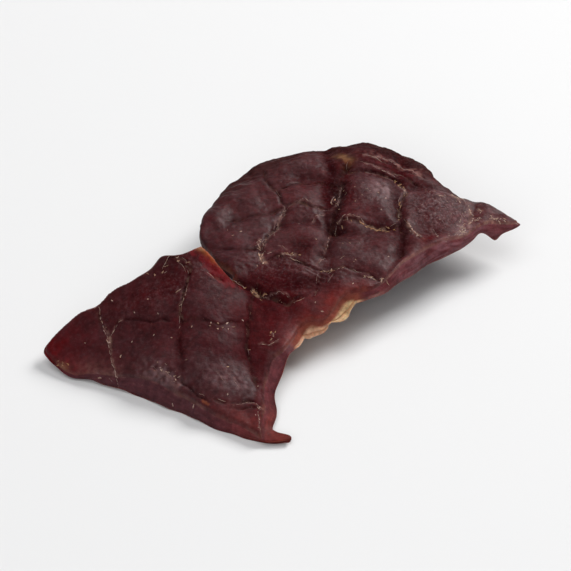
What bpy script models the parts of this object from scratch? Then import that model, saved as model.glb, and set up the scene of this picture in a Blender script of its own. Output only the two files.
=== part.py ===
"""One slice of dry-cured lamb: a stiff, leathery slab of meat about 3 mm thick, warped as it dried.

It is modelled as one closed solid, in metres, with +Z up and the origin at the centre of its base.
+X runs along the slice, from its narrow left tip to its pointed right tip, and +Y runs away from
the cut front edge. Lengths below are in millimetres and MM turns them into metres.

The slice is laid out flat first: its outline is filled with triangles, each point is then lifted to
the height of the warped meat, and the part behind the ridge is rolled down towards the table.
"""

import math

import bpy
import numpy as np
from mathutils import Vector, noise
from mathutils.geometry import delaunay_2d_cdt

MM = 0.001

# Size of the slab
THICKNESS = 3.0
BACK_THICKNESS = 2.0
BACK_TAPER = 12.0
TIP_THICKNESS = 1.4
TIP_LENGTH = 10.0
LEFT_TIP = (-41.9, 21.8)
RIGHT_TIP = (41.8, 50.9)

# The print of the square drying rack, whose wires are half an inch apart
WIRE_PITCH = 12.7
WIRE_ORIGIN = (-30.5, 6.0)
WIRE_GROOVE_DEPTH = 0.7
WIRE_GROOVE_WIDTH = 1.6
WIRE_WANDER = 1.2
WIRE_WANDER_LENGTH = 10.0
PILLOW_HEIGHT = (0.45, 0.85)  # on the left and the right lobe
PILLOW_SPAN = (-9.0, 3.0)

# Unevenness of the dried meat
SWELL_HEIGHT = 0.45
SWELL_LENGTH = 12.0
EDGE_WANDER = 0.35
EDGE_WANDER_LENGTH = 5.0
NOISE_SEED = 7.3

MEAT_COLOUR = (0.06, 0.022, 0.024)

# Mesh
SPACING = 1.28
WALL_ROWS = 3
WALL_BAND = 2.6
FLAT_SPOT = 0.5

# The rim of the top face seen from above, from the left tip along the front to the right tip:
# x, y, whether the rim turns a sharp corner, and how far the lower rim stands out and lies below.
FRONT_RIM = [
    (-41.9, 21.8, False, 0.0, 0.9),  # left tip
    (-40.8, 20.0, False, 0.0, 0.9),
    (-39.5, 18.6, False, 0.0, 1.0),
    (-37.2, 16.9, False, 0.1, 1.3),  # heel
    (-33.2, 15.9, False, 0.4, 2.0),
    (-28.2, 14.2, False, 0.8, 2.8),
    (-22.8, 12.3, False, 1.5, 3.4),
    (-17.4, 9.0, False, 1.2, 3.2),
    (-13.2, 5.9, False, 1.0, 2.9),
    (-8.6, 3.2, False, 0.8, 2.6),
    (-3.9, -0.5, True, 0.8, 2.7),  # hooked front corner
    (-3.8, 5.6, False, 2.1, 2.4),
    (-3.4, 11.8, False, 2.1, 2.4),
    (-2.2, 15.8, False, 2.0, 2.0),
    (0.1, 18.5, True, 1.2, 1.1),  # notch between the two lobes
    (1.6, 21.2, False, 1.2, 1.5),  # the fat seam runs from here
    (2.6, 23.4, False, 1.3, 2.2),
    (4.3, 24.4, False, 1.4, 2.6),
    (6.1, 24.4, False, 1.0, 2.2),
    (7.6, 25.3, False, 0.9, 1.2),
    (8.8, 26.6, False, 1.2, 2.4),
    (9.9, 28.1, False, 1.4, 2.6),
    (11.8, 29.2, False, 1.0, 2.2),  # to here
    (14.5, 29.8, False, 0.7, 1.8),
    (17.2, 31.3, True, 1.0, 2.4),  # shoulder
    (19.5, 33.8, False, 1.0, 2.7),
    (21.8, 36.2, False, 1.0, 3.0),
    (24.5, 39.5, False, 1.0, 3.0),
    (27.2, 41.6, False, 1.2, 3.2),
    (29.9, 43.5, False, 0.9, 2.6),
    (33.0, 45.5, False, 0.6, 2.0),
    (34.9, 47.2, False, 0.5, 1.8),
    (36.9, 48.5, False, 1.2, 3.0),  # nib under the right tip
    (39.2, 49.7, False, 0.7, 2.1),
    (41.8, 50.9, True, 0.3, 0.9),  # right tip
]

# The rest of the rim, from the left end of the ridge round the slit to the left tip
BACK_RIM = [
    (-13.7, 39.5, False, 0.1, 1.8),
    (-12.4, 35.2, False, -0.1, 1.7),
    (-9.0, 31.4, False, -0.2, 1.5),  # end of the slit
    (-9.3, 30.8, False, -0.2, 1.5),
    (-12.6, 32.6, False, -0.3, 1.6),
    (-14.5, 34.0, True, 0.0, 1.5),  # raised corner of the flap
    (-17.8, 32.4, False, 0.2, 2.0),
    (-21.7, 32.8, False, 0.2, 2.4),
    (-24.4, 31.2, False, 0.2, 2.4),
    (-28.2, 29.4, False, 0.2, 2.3),
    (-32.1, 27.5, False, 0.2, 2.2),
    (-36.3, 26.7, False, 0.2, 1.9),
    (-39.0, 25.3, False, 0.1, 1.5),
]

# The ridge behind which the slab rolls down: x, y, the roll's radius and how far the meat reaches
# past the ridge, measured along its surface.
RIDGE = [
    (-14.4, 36.5, 6.0, 0.3),
    (-13.2, 42.6, 7.0, 2.0),
    (-9.7, 48.2, 9.0, 5.0),
    (-4.7, 53.2, 9.5, 9.0),
    (0.7, 57.2, 10.0, 13.5),
    (6.1, 59.6, 10.0, 17.5),
    (11.3, 60.7, 10.0, 19.5),
    (16.2, 60.3, 9.5, 19.5),
    (20.7, 58.0, 8.5, 17.0),
    (24.8, 55.1, 6.0, 12.5),
    (28.4, 53.9, 5.0, 9.0),
    (31.6, 53.1, 4.5, 6.5),
    (34.8, 52.0, 4.0, 4.5),
    (41.1, 50.9, 3.0, 0.8),
]
ROLL_LIMIT = math.radians(88.0)

# Height of the left lobe, which leans up towards its back edge. The lean is less at the left tip
# and on the right, where it fades between two places along x.
HEEL_POINT = (-37.0, 14.7)
HEEL_HEIGHT = 1.2
LEFT_CLIMB = 0.034
LEFT_LEAN = 0.56
LEFT_RISE = (0.4165, 0.926)
TIP_LEAN_SHARE = 0.6
TIP_LEAN_SPAN = (-44.0, -28.0)
RIGHT_LEAN_SHARE = 0.38
RIGHT_LEAN_SPAN = (-18.0, -2.0)

# Height of the right lobe, which falls towards its tip and towards the fat seam
RIGHT_HEIGHT = 10.6
RIGHT_SLOPE = 0.09
RIGHT_MIDDLE_Y = 30.0
TIP_FALL = 0.27
TIP_FALL_X = 24.0
TIP_FALL_ROUND = 3.0
SEAM_FALL = 0.44
SEAM_FALL_Y = 31.5
SEAM_FALL_ROUND = 1.5

# The valley in which the two lobes meet, from the slit to the notch: it starts narrow and widens
VALLEY_POINT = (-8.5, 29.5)
VALLEY_ALONG = (0.6255, -0.7800)
VALLEY_WIDTH = (1.2, 6.5)
VALLEY_WIDENS = (-1.0, 5.0)

# The skin that is pulled smooth between the lobes and the fat seam
SMOOTH_START = (-4.0, 23.0)
SMOOTH_END = (11.0, 28.0)
SMOOTH_REACH = 4.5

# The hook at the front corner: where it is, how wide, and how far it reaches along x, y and z
HOOK_POINT = (-3.9, -0.5)
HOOK_WIDTH = 2.1
HOOK_REACH = (4.5, 1.2, 0.2)
HOOK_POWER = 2.2


def smoothstep(x, start=0.0, end=1.0):
    x = np.clip((x - start) / (end - start), 0, 1)
    return x * x * (3 - 2 * x)


def softplus(x, width):
    """0 for a negative x and x for a positive one, rounded over the width."""
    return width * np.logaddexp(0, x / width)


def wander(points, length, offset=0.0):
    """Smooth seeded noise of about plus or minus one, whose waves are about length long."""
    flat = points.reshape(len(points), -1) / length
    if flat.shape[1] == 2:
        flat = np.column_stack([flat, np.zeros(len(flat))])
    shift = Vector((NOISE_SEED + offset, 2 * NOISE_SEED - offset, offset))
    return 2 * np.array([noise.noise(Vector(p) + shift) for p in flat.tolist()])


def curve(rows, corners, step, closed):
    """Samples a smooth curve through the rows about every step, with its corners kept."""
    rows = np.array(rows, float)
    corners = list(corners)
    if closed:
        rows = np.vstack([rows, rows[:1]])
        corners.append(corners[0])
    chord = np.linalg.norm(np.diff(rows[:, :2], axis=0), axis=1)
    knots = np.concatenate([[0], np.cumsum(chord)])
    slopes = np.diff(rows, axis=0) / chord[:, None]
    before = np.vstack([slopes[-1:] if closed else slopes[:1], slopes])
    after = np.vstack([slopes, slopes[:1] if closed else slopes[-1:]])
    span_before = np.concatenate([chord[-1:] if closed else chord[:1], chord])[:, None]
    span_after = np.concatenate([chord, chord[:1] if closed else chord[-1:]])[:, None]
    smooth = (before * span_after + after * span_before) / (span_before + span_after)
    sharp = np.array(corners)[:, None]
    arriving = np.where(sharp, before, smooth)
    leaving = np.where(sharp, after, smooth)

    fine = np.linspace(0, knots[-1], 40 * len(knots))
    fine = np.unique(np.concatenate([fine, knots]))
    k = np.clip(np.searchsorted(knots, fine, side="right") - 1, 0, len(knots) - 2)
    span = chord[k][:, None]
    u = (fine - knots[k])[:, None] / span
    dense = (
        rows[k] * (2 * u**3 - 3 * u**2 + 1)
        + leaving[k] * span * (u**3 - 2 * u**2 + u)
        + rows[k + 1] * (3 * u**2 - 2 * u**3)
        + arriving[k + 1] * span * (u**3 - u**2)
    )
    length = np.linalg.norm(np.diff(dense[:, :2], axis=0), axis=1)
    length = np.concatenate([[0], np.cumsum(length)])
    turns = [knots[i] for i in range(1, len(knots) - 1) if corners[i]]
    stops = [0.0] + [length[np.searchsorted(fine, turn)] for turn in turns] + [length[-1]]
    places = []
    for start, end in zip(stops, stops[1:]):
        count = max(1, round((end - start) / step))
        places.extend(np.linspace(start, end, count + 1)[:-1])
    if not closed:
        places.append(stops[-1])
    return np.column_stack([np.interp(places, length, column) for column in dense.T])


def left_height(x, y):
    up = (x - HEEL_POINT[0]) * LEFT_RISE[0] + (y - HEEL_POINT[1]) * LEFT_RISE[1]
    at_tip = TIP_LEAN_SHARE + (1 - TIP_LEAN_SHARE) * smoothstep(x, *TIP_LEAN_SPAN)
    at_right = 1 - (1 - RIGHT_LEAN_SHARE) * smoothstep(x, *RIGHT_LEAN_SPAN)
    climb = LEFT_CLIMB * (x - HEEL_POINT[0])
    return HEEL_HEIGHT + climb + LEFT_LEAN * up * at_tip * at_right


def right_height(x, y):
    level = RIGHT_HEIGHT + RIGHT_SLOPE * (y - RIGHT_MIDDLE_Y)
    to_tip = TIP_FALL * softplus(x - TIP_FALL_X, TIP_FALL_ROUND)
    to_seam = SEAM_FALL * softplus(SEAM_FALL_Y - y, SEAM_FALL_ROUND)
    return level - to_tip - to_seam


def lobe_height(flat):
    """Height of the warped top face over the plan, in front of the ridge."""
    x, y = flat[:, 0], flat[:, 1]
    dx, dy = x - VALLEY_POINT[0], y - VALLEY_POINT[1]
    beyond = -dx * VALLEY_ALONG[1] + dy * VALLEY_ALONG[0]
    along = dx * VALLEY_ALONG[0] + dy * VALLEY_ALONG[1]
    narrow, wide = VALLEY_WIDTH
    width = narrow + (wide - narrow) * smoothstep(along, *VALLEY_WIDENS)
    share = smoothstep((beyond + 1) / width)
    return left_height(x, y) * (1 - share) + right_height(x, y) * share


def ridge_line(step):
    """The ridge as rows of x, y, radius and reach, with the directions that point away from it."""
    line = curve(RIDGE, [False] * len(RIDGE), step, closed=False)
    along = np.gradient(line[:, :2], axis=0)
    away = np.column_stack([-along[:, 1], along[:, 0]])
    return line, away / np.linalg.norm(away, axis=1)[:, None]


def outline():
    """The closed rim of the flat slice: x, y, stand-out, drop and whether the rim is cut square."""
    rows = [(x, y, side, drop, 1.0) for x, y, sharp, side, drop in FRONT_RIM]
    corners = [sharp for x, y, sharp, side, drop in FRONT_RIM]
    line, away = ridge_line(0.1)
    for x, y, radius, reach in reversed(RIDGE[1:]):
        nearest = np.linalg.norm(line[:, :2] - (x, y), axis=1).argmin()
        rows.append((x + away[nearest, 0] * reach, y + away[nearest, 1] * reach, 0.0, 1.5, 0.0))
        corners.append(False)
    rows += [(x, y, side, drop, 1.0) for x, y, sharp, side, drop in BACK_RIM]
    corners += [sharp for x, y, sharp, side, drop in BACK_RIM]
    return rows, corners


def inside(points, rim):
    """Whether each point lies inside the closed rim."""
    after = np.roll(rim, -1, axis=0)
    odd = np.zeros(len(points), bool)
    for (x0, y0), (x1, y1) in zip(rim, after):
        if y0 == y1:
            continue
        spans = (points[:, 1] > min(y0, y1)) & (points[:, 1] <= max(y0, y1))
        odd ^= spans & (points[:, 0] < x0 + (points[:, 1] - y0) * (x1 - x0) / (y1 - y0))
    return odd


def nearest_in(points, line):
    """Distance to the nearest point of a line of points, and that point's number."""
    distance = np.empty(len(points))
    number = np.empty(len(points), int)
    for start in range(0, len(points), 2000):
        gap = np.linalg.norm(points[start : start + 2000, None] - line[None], axis=2)
        number[start : start + 2000] = gap.argmin(axis=1)
        distance[start : start + 2000] = gap.min(axis=1)
    return distance, number


def flat_mesh(rim, spacing):
    """Fills the rim with nearly even triangles. The rim's points come first."""
    low, high = rim.min(axis=0), rim.max(axis=0)
    rows = np.arange(low[1], high[1], spacing * math.sqrt(0.75))
    columns = np.arange(low[0], high[0], spacing)
    grid = np.array([(x + (k % 2) * spacing / 2, y) for k, y in enumerate(rows) for x in columns])
    grid = grid[inside(grid, rim)]
    grid = grid[nearest_in(grid, rim)[0] > 0.6 * spacing]
    points = np.vstack([rim, grid])
    found = delaunay_2d_cdt(
        [Vector(p) for p in points.tolist()], [], [list(range(len(rim)))], 1, 1e-7
    )
    flat = np.array([tuple(p) for p in found[0]])
    return flat, np.array(found[2])


def lift(flat):
    """Lifts flat points to the warped form; also says which way the slab's thickness goes there."""
    line, away = ridge_line(0.15)
    distance, number = nearest_in(flat, line[:, :2])
    out = away[number]
    beyond = ((flat - line[number, :2]) * out).sum(axis=1) > 0
    beyond &= (number > 0) & (number < len(line) - 1)
    start = np.where(beyond[:, None], line[number, :2], flat)
    d = np.where(beyond, distance, 0.0)
    radius = line[number, 2]
    slope = (lobe_height(start + 0.2 * out) - lobe_height(start - 0.2 * out)) / 0.4
    first = -np.arctan(slope)
    turn = np.minimum(d / radius, ROLL_LIMIT - first)
    rest = d - turn * radius
    reach = radius * (np.sin(first + turn) - np.sin(first)) + rest * np.cos(first + turn)
    fall = radius * (np.cos(first) - np.cos(first + turn)) + rest * np.sin(first + turn)
    top = np.column_stack([start + out * reach[:, None], lobe_height(start) - fall])
    angle = first * smoothstep(d / THICKNESS) + turn
    inward = np.column_stack([out * np.sin(angle)[:, None], np.cos(angle)])
    inward[~beyond] = (0, 0, 1)
    return top, -inward, d


def normals_of(points, faces):
    a, b, c = (points[faces[:, k]] for k in range(3))
    across = np.cross(b - a, c - a)
    normal = np.zeros_like(points)
    for k in range(3):
        np.add.at(normal, faces[:, k], across)
    return normal / np.linalg.norm(normal, axis=1)[:, None]


def smooth_zone(flat):
    """1 over the smooth skin that is pulled tight between the lobes and the fat seam, else 0."""
    start, end = np.array(SMOOTH_START), np.array(SMOOTH_END)
    share = np.clip((flat - start) @ (end - start) / ((end - start) @ (end - start)), 0, 1)
    gap = np.linalg.norm(flat - start - share[:, None] * (end - start), axis=1)
    return np.exp(-((gap / SMOOTH_REACH) ** 2))


def rack_print(flat):
    """Height of the rack's print: pillows between the wires and grooves under them."""
    sway = [wander(flat, WIRE_WANDER_LENGTH, 3.0), wander(flat, WIRE_WANDER_LENGTH, 11.0)]
    sway = np.column_stack(sway)
    cell = (flat - np.array(WIRE_ORIGIN) + WIRE_WANDER * sway) / WIRE_PITCH
    off = np.abs(cell - np.round(cell)) * WIRE_PITCH
    pillow = np.prod(np.sin(np.pi * off / WIRE_PITCH), axis=1)
    groove = np.exp(-((off / WIRE_GROOVE_WIDTH) ** 2)).max(axis=1)
    strength = np.clip(0.7 + 0.4 * wander(flat, WIRE_WANDER_LENGTH, 5.0), 0.2, 1)
    low, high = PILLOW_HEIGHT
    height = low + (high - low) * smoothstep(flat[:, 0], *PILLOW_SPAN)
    return height * pillow - WIRE_GROOVE_DEPTH * strength * groove


def thickness_at(flat, rolled):
    """Thickness of the slab: less behind the ridge, and least at the two tips."""
    thick = THICKNESS + (BACK_THICKNESS - THICKNESS) * smoothstep(rolled / BACK_TAPER)
    for tip in (LEFT_TIP, RIGHT_TIP):
        near = 1 - smoothstep(np.linalg.norm(flat - tip, axis=1) / TIP_LENGTH)
        thick = thick + (TIP_THICKNESS - thick) * near
    return thick


def lower_rim(rim_rows, along, inward, thick):
    """Steps from the upper rim to the lower rim."""
    outward = np.column_stack([along[:, 1], -along[:, 0], np.zeros(len(along))])
    outward /= np.linalg.norm(outward, axis=1)[:, None]
    cut = outward * rim_rows[:, 2:3]
    cut[:, 2] = -rim_rows[:, 3]
    share = np.clip(rim_rows[:, 4:5], 0, 1)
    return cut * share + inward * thick[:, None] * (1 - share)


def spread(flat, rim, steps):
    """Carries the rim's steps to every point, each by the nearness of the rim's points."""
    found = np.empty((len(flat), 3))
    for start in range(0, len(flat), 2000):
        gap = ((flat[start : start + 2000, None] - rim[None]) ** 2).sum(axis=2)
        weight = 1 / (gap + 0.04) ** 2
        found[start : start + 2000] = (weight @ steps) / weight.sum(axis=1)[:, None]
    return found


def slab_points():
    """Points of the top face, the bottom face and the wall rows, and the faces that join them."""
    rows, corners = outline()
    rim_rows = curve(rows, corners, SPACING, closed=True)
    rim = rim_rows[:, :2]
    flat, faces = flat_mesh(rim, SPACING)
    size = len(rim)
    top, inward, rolled = lift(flat)
    normal = normals_of(top, faces)

    thick = thickness_at(flat, rolled)
    lean = np.clip(-(inward * normal).sum(axis=1), 0.6, 1)
    along = np.roll(rim, -1, axis=0) - np.roll(rim, 1, axis=0)
    steps = lower_rim(rim_rows, along, inward[:size], thick[:size])
    near = 1 - smoothstep(nearest_in(flat, rim)[0] / WALL_BAND)[:, None]
    under = inward * (thick / lean)[:, None] * (1 - near) + spread(flat, rim, steps) * near
    under[:size] = steps

    swell = SWELL_HEIGHT * wander(flat, SWELL_LENGTH)
    relief = rack_print(flat) * (1 - near[:, 0]) * (1 - smooth_zone(flat))
    bottom = top + under + normal * (0.8 * swell)[:, None]
    top = top + normal * (relief + swell)[:, None]

    hook = np.exp(-((np.linalg.norm(rim - HOOK_POINT, axis=1) / HOOK_WIDTH) ** 2))
    hook = hook[:, None] * np.array(HOOK_REACH)
    walls = []
    for k in range(1, WALL_ROWS):
        w = k / WALL_ROWS
        walls.append(top[:size] * (1 - w) + bottom[:size] * w + hook * w**HOOK_POWER)
    bottom[:size] += hook
    return top, bottom, walls, faces, size


def slab_mesh(name):
    """A closed mesh: the top face, the bottom face and the wall round them."""
    top, bottom, walls, faces, size = slab_points()
    count = len(top)
    points = np.vstack([top, bottom] + walls)
    every = [tuple(face) for face in faces.tolist()]
    every += [(c + count, b + count, a + count) for a, b, c in faces.tolist()]
    rings = [list(range(size))]
    rings += [list(range(2 * count + k * size, 2 * count + (k + 1) * size)) for k in range(len(walls))]
    rings.append(list(range(count, count + size)))
    for upper, lower in zip(rings, rings[1:]):
        for n in range(size):
            m = (n + 1) % size
            every.append((upper[m], upper[n], lower[n], lower[m]))
    points += EDGE_WANDER * np.column_stack(
        [wander(points, EDGE_WANDER_LENGTH, 20.0 + 9 * axis) for axis in range(3)]
    )
    low, high = points.min(axis=0), points.max(axis=0)
    points -= ((low[0] + high[0]) / 2, (low[1] + high[1]) / 2, low[2] + FLAT_SPOT)
    points[:, 2] = np.maximum(points[:, 2], 0)
    mesh = bpy.data.meshes.new(name)
    mesh.from_pydata((points * MM).tolist(), [], every)
    mesh.validate()
    return mesh


def meat():
    material = bpy.data.materials.new("dried_meat")
    material.use_nodes = True
    shader = material.node_tree.nodes["Principled BSDF"]
    shader.inputs["Base Color"].default_value = (*MEAT_COLOUR, 1.0)
    shader.inputs["Roughness"].default_value = 0.45
    shader.inputs["Metallic"].default_value = 0.0
    return material


def main():
    for obj in list(bpy.data.objects):
        bpy.data.objects.remove(obj)
    slab = bpy.data.objects.new("lamb_slice", slab_mesh("lamb_slice"))
    slab.data.materials.append(meat())
    slab.data.polygons.foreach_set("use_smooth", [True] * len(slab.data.polygons))
    bpy.context.scene.collection.objects.link(slab)


main()
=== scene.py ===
"""The dressed slice of dry-cured lamb: its meat as one fine mesh, and the sinew flecks that lie on it.

Lengths are in millimetres. The slice is laid out flat first, as the solid is, and (x, y) below is a
place on that flat plan, before the slice is centred. SHIFT and MM then turn it into the row frame.
"""

import math

import bpy
import numpy as np
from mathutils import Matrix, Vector, kdtree, noise
from mathutils.bvhtree import BVHTree
from mathutils.geometry import delaunay_2d_cdt


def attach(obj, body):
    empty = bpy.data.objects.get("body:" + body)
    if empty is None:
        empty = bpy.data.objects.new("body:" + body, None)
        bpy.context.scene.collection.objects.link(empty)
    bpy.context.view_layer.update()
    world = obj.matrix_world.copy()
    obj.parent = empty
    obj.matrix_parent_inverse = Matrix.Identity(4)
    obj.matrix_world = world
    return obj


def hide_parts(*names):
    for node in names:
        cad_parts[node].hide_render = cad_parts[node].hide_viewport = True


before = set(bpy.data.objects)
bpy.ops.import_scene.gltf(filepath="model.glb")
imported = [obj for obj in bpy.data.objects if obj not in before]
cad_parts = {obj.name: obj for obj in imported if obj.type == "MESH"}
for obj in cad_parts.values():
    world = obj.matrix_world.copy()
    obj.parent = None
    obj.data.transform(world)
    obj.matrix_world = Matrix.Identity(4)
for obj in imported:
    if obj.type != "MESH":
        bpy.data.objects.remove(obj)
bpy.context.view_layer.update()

MM = 0.001
SHIFT = (0.209, 36.068, 0.169)  # from the plan to the solid's own frame

# Form of the slab, as in the solid
THICKNESS = 3.0
BACK_THICKNESS = 2.0
BACK_TAPER = 12.0
TIP_THICKNESS = 1.4
TIP_LENGTH = 10.0
LEFT_TIP = (-41.9, 21.8)
RIGHT_TIP = (41.8, 50.9)
WIRE_PITCH = 12.7
WIRE_ORIGIN = (-30.5, 6.0)
WIRE_GROOVE_DEPTH = 0.7
WIRE_GROOVE_WIDTH = 1.6
WIRE_WANDER = 1.2
WIRE_WANDER_LENGTH = 10.0
PILLOW_HEIGHT = (0.30, 0.75)
PILLOW_SPAN = (-5.0, 5.0)
LEFT_GROOVE_SHARE = 0.25
SWELL_HEIGHT = 0.45
SWELL_LENGTH = 12.0
EDGE_WANDER = 0.35
EDGE_WANDER_LENGTH = 5.0
NOISE_SEED = 7.3
WALL_BAND = 2.6

# The rim of the top face seen from above, from the left tip along the front to the right tip:
# x, y, whether the rim turns a sharp corner, and how far the lower rim stands out and lies below.
FRONT_RIM = [
    (-41.9, 21.8, False, 0.0, 0.9),  # left tip
    (-40.8, 20.0, False, 0.0, 0.9),
    (-39.5, 18.6, False, 0.0, 1.0),
    (-37.2, 16.9, False, 0.1, 1.3),  # heel
    (-33.2, 15.9, False, 0.4, 2.0),
    (-28.2, 14.2, False, 0.8, 2.8),
    (-22.8, 12.3, False, 1.5, 3.4),
    (-17.4, 9.0, False, 1.2, 3.2),
    (-13.2, 5.9, False, 1.0, 2.9),
    (-8.6, 3.2, False, 0.8, 2.6),
    (-3.9, -0.5, True, 0.8, 2.7),  # hooked front corner
    (-3.8, 5.6, False, 2.1, 2.4),
    (-3.4, 11.8, False, 2.1, 2.4),
    (-2.2, 15.8, False, 2.0, 2.0),
    (0.1, 18.5, True, 1.2, 1.1),  # notch between the two lobes
    (1.6, 21.2, False, 1.2, 1.5),  # the fat seam runs from here
    (2.6, 23.4, False, 1.3, 2.2),
    (4.3, 24.4, False, 1.4, 2.6),
    (6.1, 24.4, False, 1.0, 2.2),
    (7.6, 25.3, False, 0.9, 1.2),
    (8.8, 26.6, False, 1.2, 2.4),
    (9.9, 28.1, False, 1.4, 2.6),
    (11.8, 29.2, False, 1.0, 2.2),  # to here
    (14.5, 29.8, False, 0.7, 1.8),
    (17.2, 31.3, True, 1.0, 2.4),  # shoulder
    (19.5, 33.8, False, 1.0, 2.7),
    (21.8, 36.2, False, 1.0, 3.0),
    (24.5, 39.5, False, 1.0, 3.0),
    (27.2, 41.6, False, 1.2, 3.2),
    (29.9, 43.5, False, 0.9, 2.6),
    (33.0, 45.5, False, 0.6, 2.0),
    (34.9, 47.2, False, 0.5, 1.8),
    (36.9, 48.5, False, 1.2, 3.0),  # nib under the right tip
    (39.2, 49.7, False, 0.7, 2.1),
    (41.8, 50.9, True, 0.3, 0.9),  # right tip
]

# The rest of the rim, from the left end of the ridge round the slit to the left tip
BACK_RIM = [
    (-13.7, 39.5, False, 0.1, 1.8),
    (-12.4, 35.2, False, -0.1, 1.7),
    (-9.0, 31.4, False, -0.2, 1.5),  # end of the slit
    (-9.3, 30.8, False, -0.2, 1.5),
    (-12.6, 32.6, False, -0.3, 1.6),
    (-14.5, 34.0, True, 0.0, 1.5),  # raised corner of the flap
    (-17.8, 32.4, False, 0.2, 2.0),
    (-21.7, 32.8, False, 0.2, 2.4),
    (-24.4, 31.2, False, 0.2, 2.4),
    (-28.2, 29.4, False, 0.2, 2.3),
    (-32.1, 27.5, False, 0.2, 2.2),
    (-36.3, 26.7, False, 0.2, 1.9),
    (-39.0, 25.3, False, 0.1, 1.5),
]

# The ridge behind which the slab rolls down: x, y, the roll's radius and how far the meat reaches
# past the ridge, measured along its surface.
RIDGE = [
    (-14.4, 36.5, 6.0, 0.3),
    (-13.2, 42.6, 7.0, 2.0),
    (-9.7, 48.2, 9.0, 5.0),
    (-4.7, 53.2, 9.5, 9.0),
    (0.7, 57.2, 10.0, 13.5),
    (6.1, 59.6, 10.0, 17.5),
    (11.3, 60.7, 10.0, 19.5),
    (16.2, 60.3, 9.5, 19.5),
    (20.7, 58.0, 8.5, 17.0),
    (24.8, 55.1, 6.0, 12.5),
    (28.4, 53.9, 5.0, 9.0),
    (31.6, 53.1, 4.5, 6.5),
    (34.8, 52.0, 4.0, 4.5),
    (41.1, 50.9, 3.0, 0.8),
]
ROLL_LIMIT = math.radians(88.0)

HEEL_POINT = (-37.0, 14.7)
HEEL_HEIGHT = 1.2
LEFT_CLIMB = 0.034
LEFT_LEAN = 0.56
LEFT_RISE = (0.4165, 0.926)
TIP_LEAN_SHARE = 0.6
TIP_LEAN_SPAN = (-44.0, -28.0)
RIGHT_LEAN_SHARE = 0.38
RIGHT_LEAN_SPAN = (-18.0, -2.0)
RIGHT_HEIGHT = 10.6
RIGHT_SLOPE = 0.09
RIGHT_MIDDLE_Y = 30.0
TIP_FALL = 0.27
TIP_FALL_X = 24.0
TIP_FALL_ROUND = 3.0
SEAM_FALL = 0.44
SEAM_FALL_Y = 31.5
SEAM_FALL_ROUND = 1.5
VALLEY_POINT = (-8.5, 29.5)
VALLEY_ALONG = (0.6255, -0.7800)
VALLEY_WIDTH = (1.2, 6.5)
VALLEY_WIDENS = (-1.0, 5.0)
SMOOTH_START = (-4.0, 23.0)
SMOOTH_END = (11.0, 28.0)
SMOOTH_REACH = 4.5
HOOK_POINT = (-3.9, -0.5)
HOOK_WIDTH = 2.1
HOOK_REACH = (4.1, 0.5, 0.9)
TOE_START = 0.62  # how far down the wall the toe begins to round over
TOE_HALF = 0.30  # half of the toe's thickness
HOOK_BLUR = 5  # points of the rim on either side over which the toe's end is rounded
CONTACT_ROUND = 0.2

# Fine mesh
TOP_SPACING = 0.25
BOTTOM_SPACING = 0.46
WALL_ROWS = 14
EDGE_ROUND = 0.80
RIGHT_EDGE_CRISP = 0.5
LINE_STEP = 0.15
CREASE_SWAY = 0.30
CREASE_SHAPE = (0.12, 0.75, 0.35)  # shares of the lip beside it, the groove and the crack in it
STRAND_SWAY = 0.22

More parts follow.
